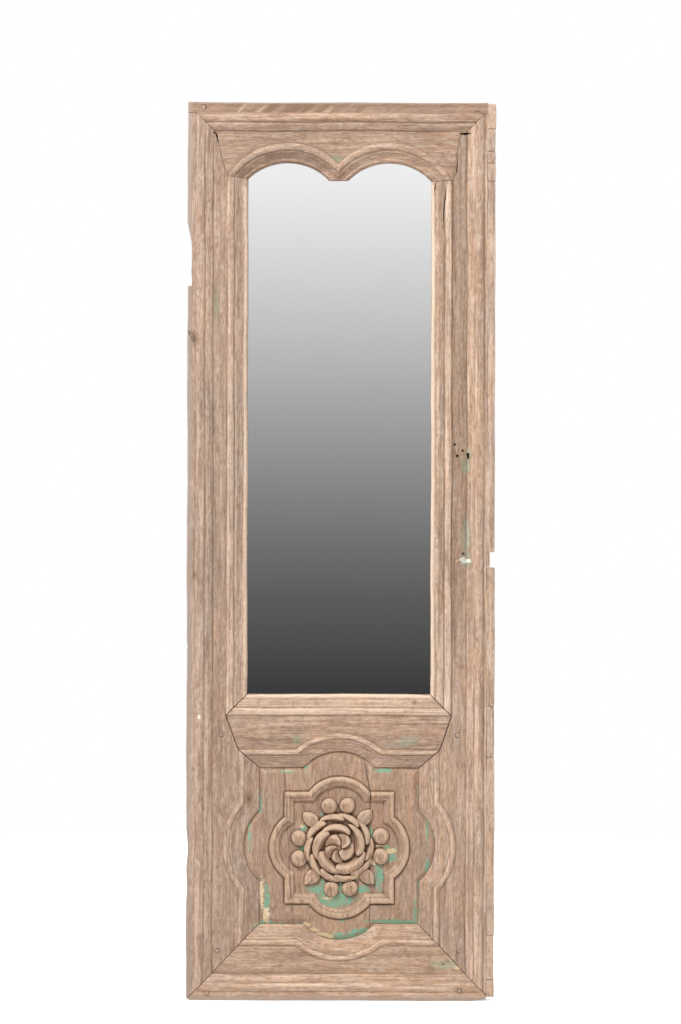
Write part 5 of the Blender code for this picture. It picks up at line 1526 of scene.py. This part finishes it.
def edge_strip(name, number, low, high):
    left, right = LEAF_RIGHT + STRIP_GLUE, LEAF_RIGHT + EDGE_STRIP_WIDTH + EDGE_STRIP_OVER
    gap = size("strip_gap") / 2
    low, high = low + gap, high - gap
    steps = max(3, round((high - low) / STRIP_STEP))
    shift = STRIP_SHIFT * math.sin(2.7 * number)
    rings = []
    for k in range(steps + 1):
        level = low + (high - low) * k / steps
        worn = STRIP_END * 0.5 if k in (0, steps) else 0.0
        edge_wave = STRIP_EDGE_WAVE * math.sin(31 * level + number)
        face_wave = STRIP_FACE_WAVE * math.sin(23 * level + 2 * number)
        edge = right - STRIP_EDGE_IN + shift - worn + edge_wave
        front = EDGE_STRIP_THICKNESS - STRIP_FACE_IN + shift - worn + face_wave
        soft = STRIP_ROUND
        section = [
            (left, 0.0), (edge - soft * 0.4, 0.0), (edge, soft * 0.4), (edge, front - soft),
            (edge - soft * 0.3, front - soft * 0.3), (edge - soft, front), (edge - soft * 2, front),
            (left + soft * 0.3, front), (left, front - soft * 0.2),
        ]
        rings.append([at(x, height, level) for x, height in section])
    strip = outwards(run_on(name, rings, filled=True))
    relief = []
    for vert in strip.data.vertices:
        near_edge = right - vert.co.x < RUBBED_EDGE and -vert.co.y > EDGE_STRIP_THICKNESS - RUBBED_FACE
        relief.append(RUBBED_STRIP if near_edge else 0.0)
    keep(strip, "relief", relief)
    return strip


class LEAF_OT_glass(bpy.types.Operator):
    """Finishes the mirror, its backing board and the strips and pins that hold them"""

    bl_idname = "leaf.glass"
    bl_label = "Mirror and backing"

    def execute(self, context):
        mirror = Finish("silvered_glass")
        cloud = mirror.noise(mirror.place(), 9.0, 3.0, 0.5)
        tint = mirror.mix(colour("silver"), (0.885, 0.89, 0.89, 1), cloud.between(0.45, 0.7))
        mirror.feed("Base Color", tint)
        mirror.feed("Metallic", 1.0)
        mirror.feed("Roughness", cloud.between(0.55, 0.8) * 0.012 + 0.006)
        finish_node("mirror_glass", mirror.material)
        ply = plywood()
        finish_node("mirror_backing", ply)
        for side in ("left", "right", "bottom", "top"):
            finish_node(f"glazing_strip_{side}", ply)
        steel = worn_steel()
        for kind, count in (("glazing_pin", 6), ("edge_brad", 5)):
            for k in range(count):
                finish_node(f"{kind}_{k + 1}", steel)
        return {"FINISHED"}


def finish_node(name, material):
    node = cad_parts[name]
    for slot in node.material_slots:
        slot.material = material


def plywood():
    """Face veneer of the backing board, with broad soft figure and handling marks."""
    look = Finish("plywood")
    place = look.place()
    long_grain = look.mapped(place, (16.0, 16.0, 1.0), (4.0, 2.0, 1.0))
    figure = look.noise(long_grain, 1.6, 4.0, 0.55, 0.8)
    fibre = look.noise(long_grain, 14.0, 5.0, 0.6)
    stain = look.noise(place, 7.0, 4.0, 0.6)
    wood = look.mix(colour("ply"), colour("strip"), figure.between(0.42, 0.60) * 0.7)
    wood = look.mix(wood, colour("teak_dark"), fibre.between(0.44, 0.30) * 0.5)
    wood = look.mix(wood, colour("teak_grey"), stain.between(0.52, 0.70) * 0.5)
    look.feed("Base Color", wood)
    look.feed("Roughness", fibre * 0.2 + 0.6)
    look.bumped(fibre, 0.3, 0.0005)
    return look.material


def worn_steel():
    """Plated steel, dulled and spotted with rust."""
    look = Finish("steel")
    place = look.place()
    dull = look.noise(place, 260.0, 5.0, 0.6)
    rust = look.noise(place, 90.0, 6.0, 0.7).between(0.56, 0.70)
    metal = look.mix(colour("steel"), (0.36, 0.35, 0.34, 1), dull.between(0.40, 0.62))
    look.feed("Base Color", look.mix(metal, (0.22, 0.09, 0.035, 1), rust * 0.7))
    look.feed("Metallic", 1.0 - rust * 0.8)
    look.feed("Roughness", dull * 0.25 + 0.25 + rust * 0.3)
    look.bumped(dull, 0.25, 0.0003)
    return look.material


class LEAF_OT_hangers(bpy.types.Operator):
    """Bends the two D rings and finishes the plates and screws on the back"""

    bl_idname = "leaf.hangers"
    bl_label = "Hangers"

    def execute(self, context):
        steel = bpy.data.materials.get("steel") or worn_steel()
        for name, x in HANGER_PLACES.items():
            ring = bent_ring(f"d_ring_{name}", x)
            ring.data.materials.append(steel)
            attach(ring, f"ring_{name}")
            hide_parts(f"hanger_ring_{name}")
            finish_node(f"hanger_plate_{name}", steel)
            finish_node(f"hanger_screw_{name}", steel)
        return {"FINISHED"}


def bent_ring(name, x):
    """A D-shaped wire ring whose straight bar lies in the eye of its plate."""
    path = [Vector((RING_HALF * 0.72 * share, 0, 0)) for share in (-1, -0.5, 0, 0.5, 1)]
    for i in range(RING_STEPS + 1):
        angle = math.pi * i / RING_STEPS
        path.append(Vector((RING_HALF * math.cos(angle), 0, -RING_DROP * (0.28 + 0.72 * math.sin(angle)))))
    rings = []
    for i, spot in enumerate(path):
        before = (spot - path[i - 1]).normalized()
        after = (path[(i + 1) % len(path)] - spot).normalized()
        along = (before + after).normalized()
        outward = Vector((along.z, 0, -along.x)) / max(along.dot(before), 0.6)
        middle = at(x, RING_BAR, HANGER_LEVEL) + spot
        turns = (math.tau * k / RING_SIDES for k in range(RING_SIDES))
        rings.append([
            middle + (outward * math.cos(t) + Vector((0, math.sin(t), 0))) * RING_WIRE for t in turns
        ])
    ring = run_on(name, rings)
    edit(ring)
    bm = bmesh.from_edit_mesh(ring.data)
    for edge in bm.edges:
        edge.select_set(edge.is_boundary)
    bmesh.update_edit_mesh(ring.data)
    bpy.ops.mesh.bridge_edge_loops()
    done()
    outwards(ring)
    smooth(ring, 60)
    return ring


# Stage


def lamp(name, place, aim, width, power):
    bpy.ops.object.light_add(type="AREA", location=place)
    light = bpy.context.object
    light.name = name
    light.data.shape, light.data.size, light.data.energy = "SQUARE", width, power
    light.rotation_euler = (Vector(aim) - Vector(place)).to_track_quat("-Z", "Y").to_euler()


def seen_directly(look):
    """1 for camera, glossy and transmission rays, which see the white room."""
    path = look.add("ShaderNodeLightPath").socket.node.outputs
    return [Value(look, path[name]) for name in ("Is Camera Ray", "Is Glossy Ray", "Is Transmission Ray")]


class LEAF_OT_stage(bpy.types.Operator):
    """Sets the pale floor, the soft lamps, the room that the mirror shows and the camera"""

    bl_idname = "leaf.stage"
    bl_label = "Stage and camera"

    def execute(self, context):
        scene = context.scene
        scene.view_settings.view_transform = "Standard"
        self.floor()
        self.room(scene)
        for lamp_name, place, width, power in LAMPS:
            lamp(lamp_name, place, LAMP_AIM, width, power)
        distance = size("camera_distance")
        data = bpy.data.cameras.new("camera")
        data.sensor_width = SENSOR_WIDTH
        data.lens = SENSOR_WIDTH * distance / FRAME_HEIGHT
        data.clip_end = FAR_CLIP
        camera = bpy.data.objects.new("camera", data)
        scene.collection.objects.link(camera)
        camera.location = (CAMERA_X, -CAMERA_FRONT - distance, CAMERA_LEVEL - ORIGIN_LEVEL)
        camera.rotation_euler = (math.radians(90), math.radians(CAMERA_ROLL), 0.0)
        scene.camera = camera
        return {"FINISHED"}

    def floor(self):
        bpy.ops.object.select_all(action="DESELECT")
        bpy.ops.mesh.primitive_circle_add(vertices=96, radius=FLOOR_RADIUS, fill_type="NGON")
        floor = bpy.context.object
        floor.name = "floor"
        floor.data.transform(Matrix.Translation((0, 0, -ORIGIN_LEVEL - FLOOR_DROP)))
        look = Finish("floor")
        look.feed("Base Color", (0.90, 0.90, 0.90, 1))
        look.feed("Roughness", 0.9)
        glow = look.add("ShaderNodeEmission", None, {"Color": (1, 1, 1, 1), "Strength": FLOOR_GLOW})
        camera, glossy, through = seen_directly(look)
        seen = camera.highest(glossy).highest(through)
        lit = Value(look, look.shader.outputs[0])
        both = look.add("ShaderNodeAddShader", None, {0: lit, 1: glow})
        mixed = look.add("ShaderNodeMixShader", None, {0: seen, 1: lit, 2: both})
        look.tree.links.new(mixed.socket, look.tree.nodes["Material Output"].inputs["Surface"])
        floor.data.materials.append(look.material)

    def room(self, scene):
        """A room that is white to the eye, even to the light, and darker downward to the mirror."""
        world = bpy.data.worlds.new("room")
        scene.world = world
        look = Finish("room", world)
        tree = look.tree
        way = look.add("ShaderNodeTexCoord")
        up = look.axis(way, 2)
        reach = MIRRORED_REACH
        stops = [((rise + reach) / (2 * reach), (grey, grey, grey, 1)) for rise, grey in MIRRORED]
        shown = look.add("ShaderNodeValToRGB", {"stops": stops}, {0: (up + reach) * (0.5 / reach)})
        camera, glossy, through = seen_directly(look)
        shade = look.mix((ROOM_LIGHT, ROOM_LIGHT, ROOM_LIGHT, 1), (1, 1, 1, 1), camera.highest(through))
        shade = look.mix(shade, shown, glossy)
        backdrop = tree.nodes.get("Background")
        tree.links.new(shade.socket, backdrop.inputs["Color"])
        backdrop.inputs["Strength"].default_value = 1.0


OPERATORS = (
    LEAF_OT_frame, LEAF_OT_panel, LEAF_OT_pegs, LEAF_OT_edge_strips, LEAF_OT_glass, LEAF_OT_hangers,
    LEAF_OT_stage,
)


class LEAF_PT_mirror(bpy.types.Panel):
    """Lists the pieces of the mirror and the settings that shape them"""

    bl_idname = "LEAF_PT_mirror"
    bl_label = "Door leaf mirror"
    bl_space_type = "VIEW_3D"
    bl_region_type = "UI"
    bl_category = "Leaf"

    def draw(self, context):
        for operator in OPERATORS:
            self.layout.operator(operator.bl_idname)
        for group in (context.scene.leaf_size, context.scene.leaf_colour):
            for name in group.__annotations__:
                self.layout.prop(group, name)


CLASSES = (LEAF_PG_size, LEAF_PG_colour, *OPERATORS, LEAF_PT_mirror)


def register():
    for kind in CLASSES:
        bpy.utils.register_class(kind)
    bpy.types.Scene.leaf_size = bpy.props.PointerProperty(type=LEAF_PG_size)
    bpy.types.Scene.leaf_colour = bpy.props.PointerProperty(type=LEAF_PG_colour)


def unregister():
    del bpy.types.Scene.leaf_colour
    del bpy.types.Scene.leaf_size
    for kind in reversed(CLASSES):
        bpy.utils.unregister_class(kind)


def main():
    register()
    bpy.ops.leaf.frame()
    bpy.ops.leaf.panel()
    bpy.ops.leaf.pegs()
    bpy.ops.leaf.edge_strips()
    bpy.ops.leaf.glass()
    bpy.ops.leaf.hangers()
    bpy.ops.leaf.stage()


if __name__ == "__main__":
    main()
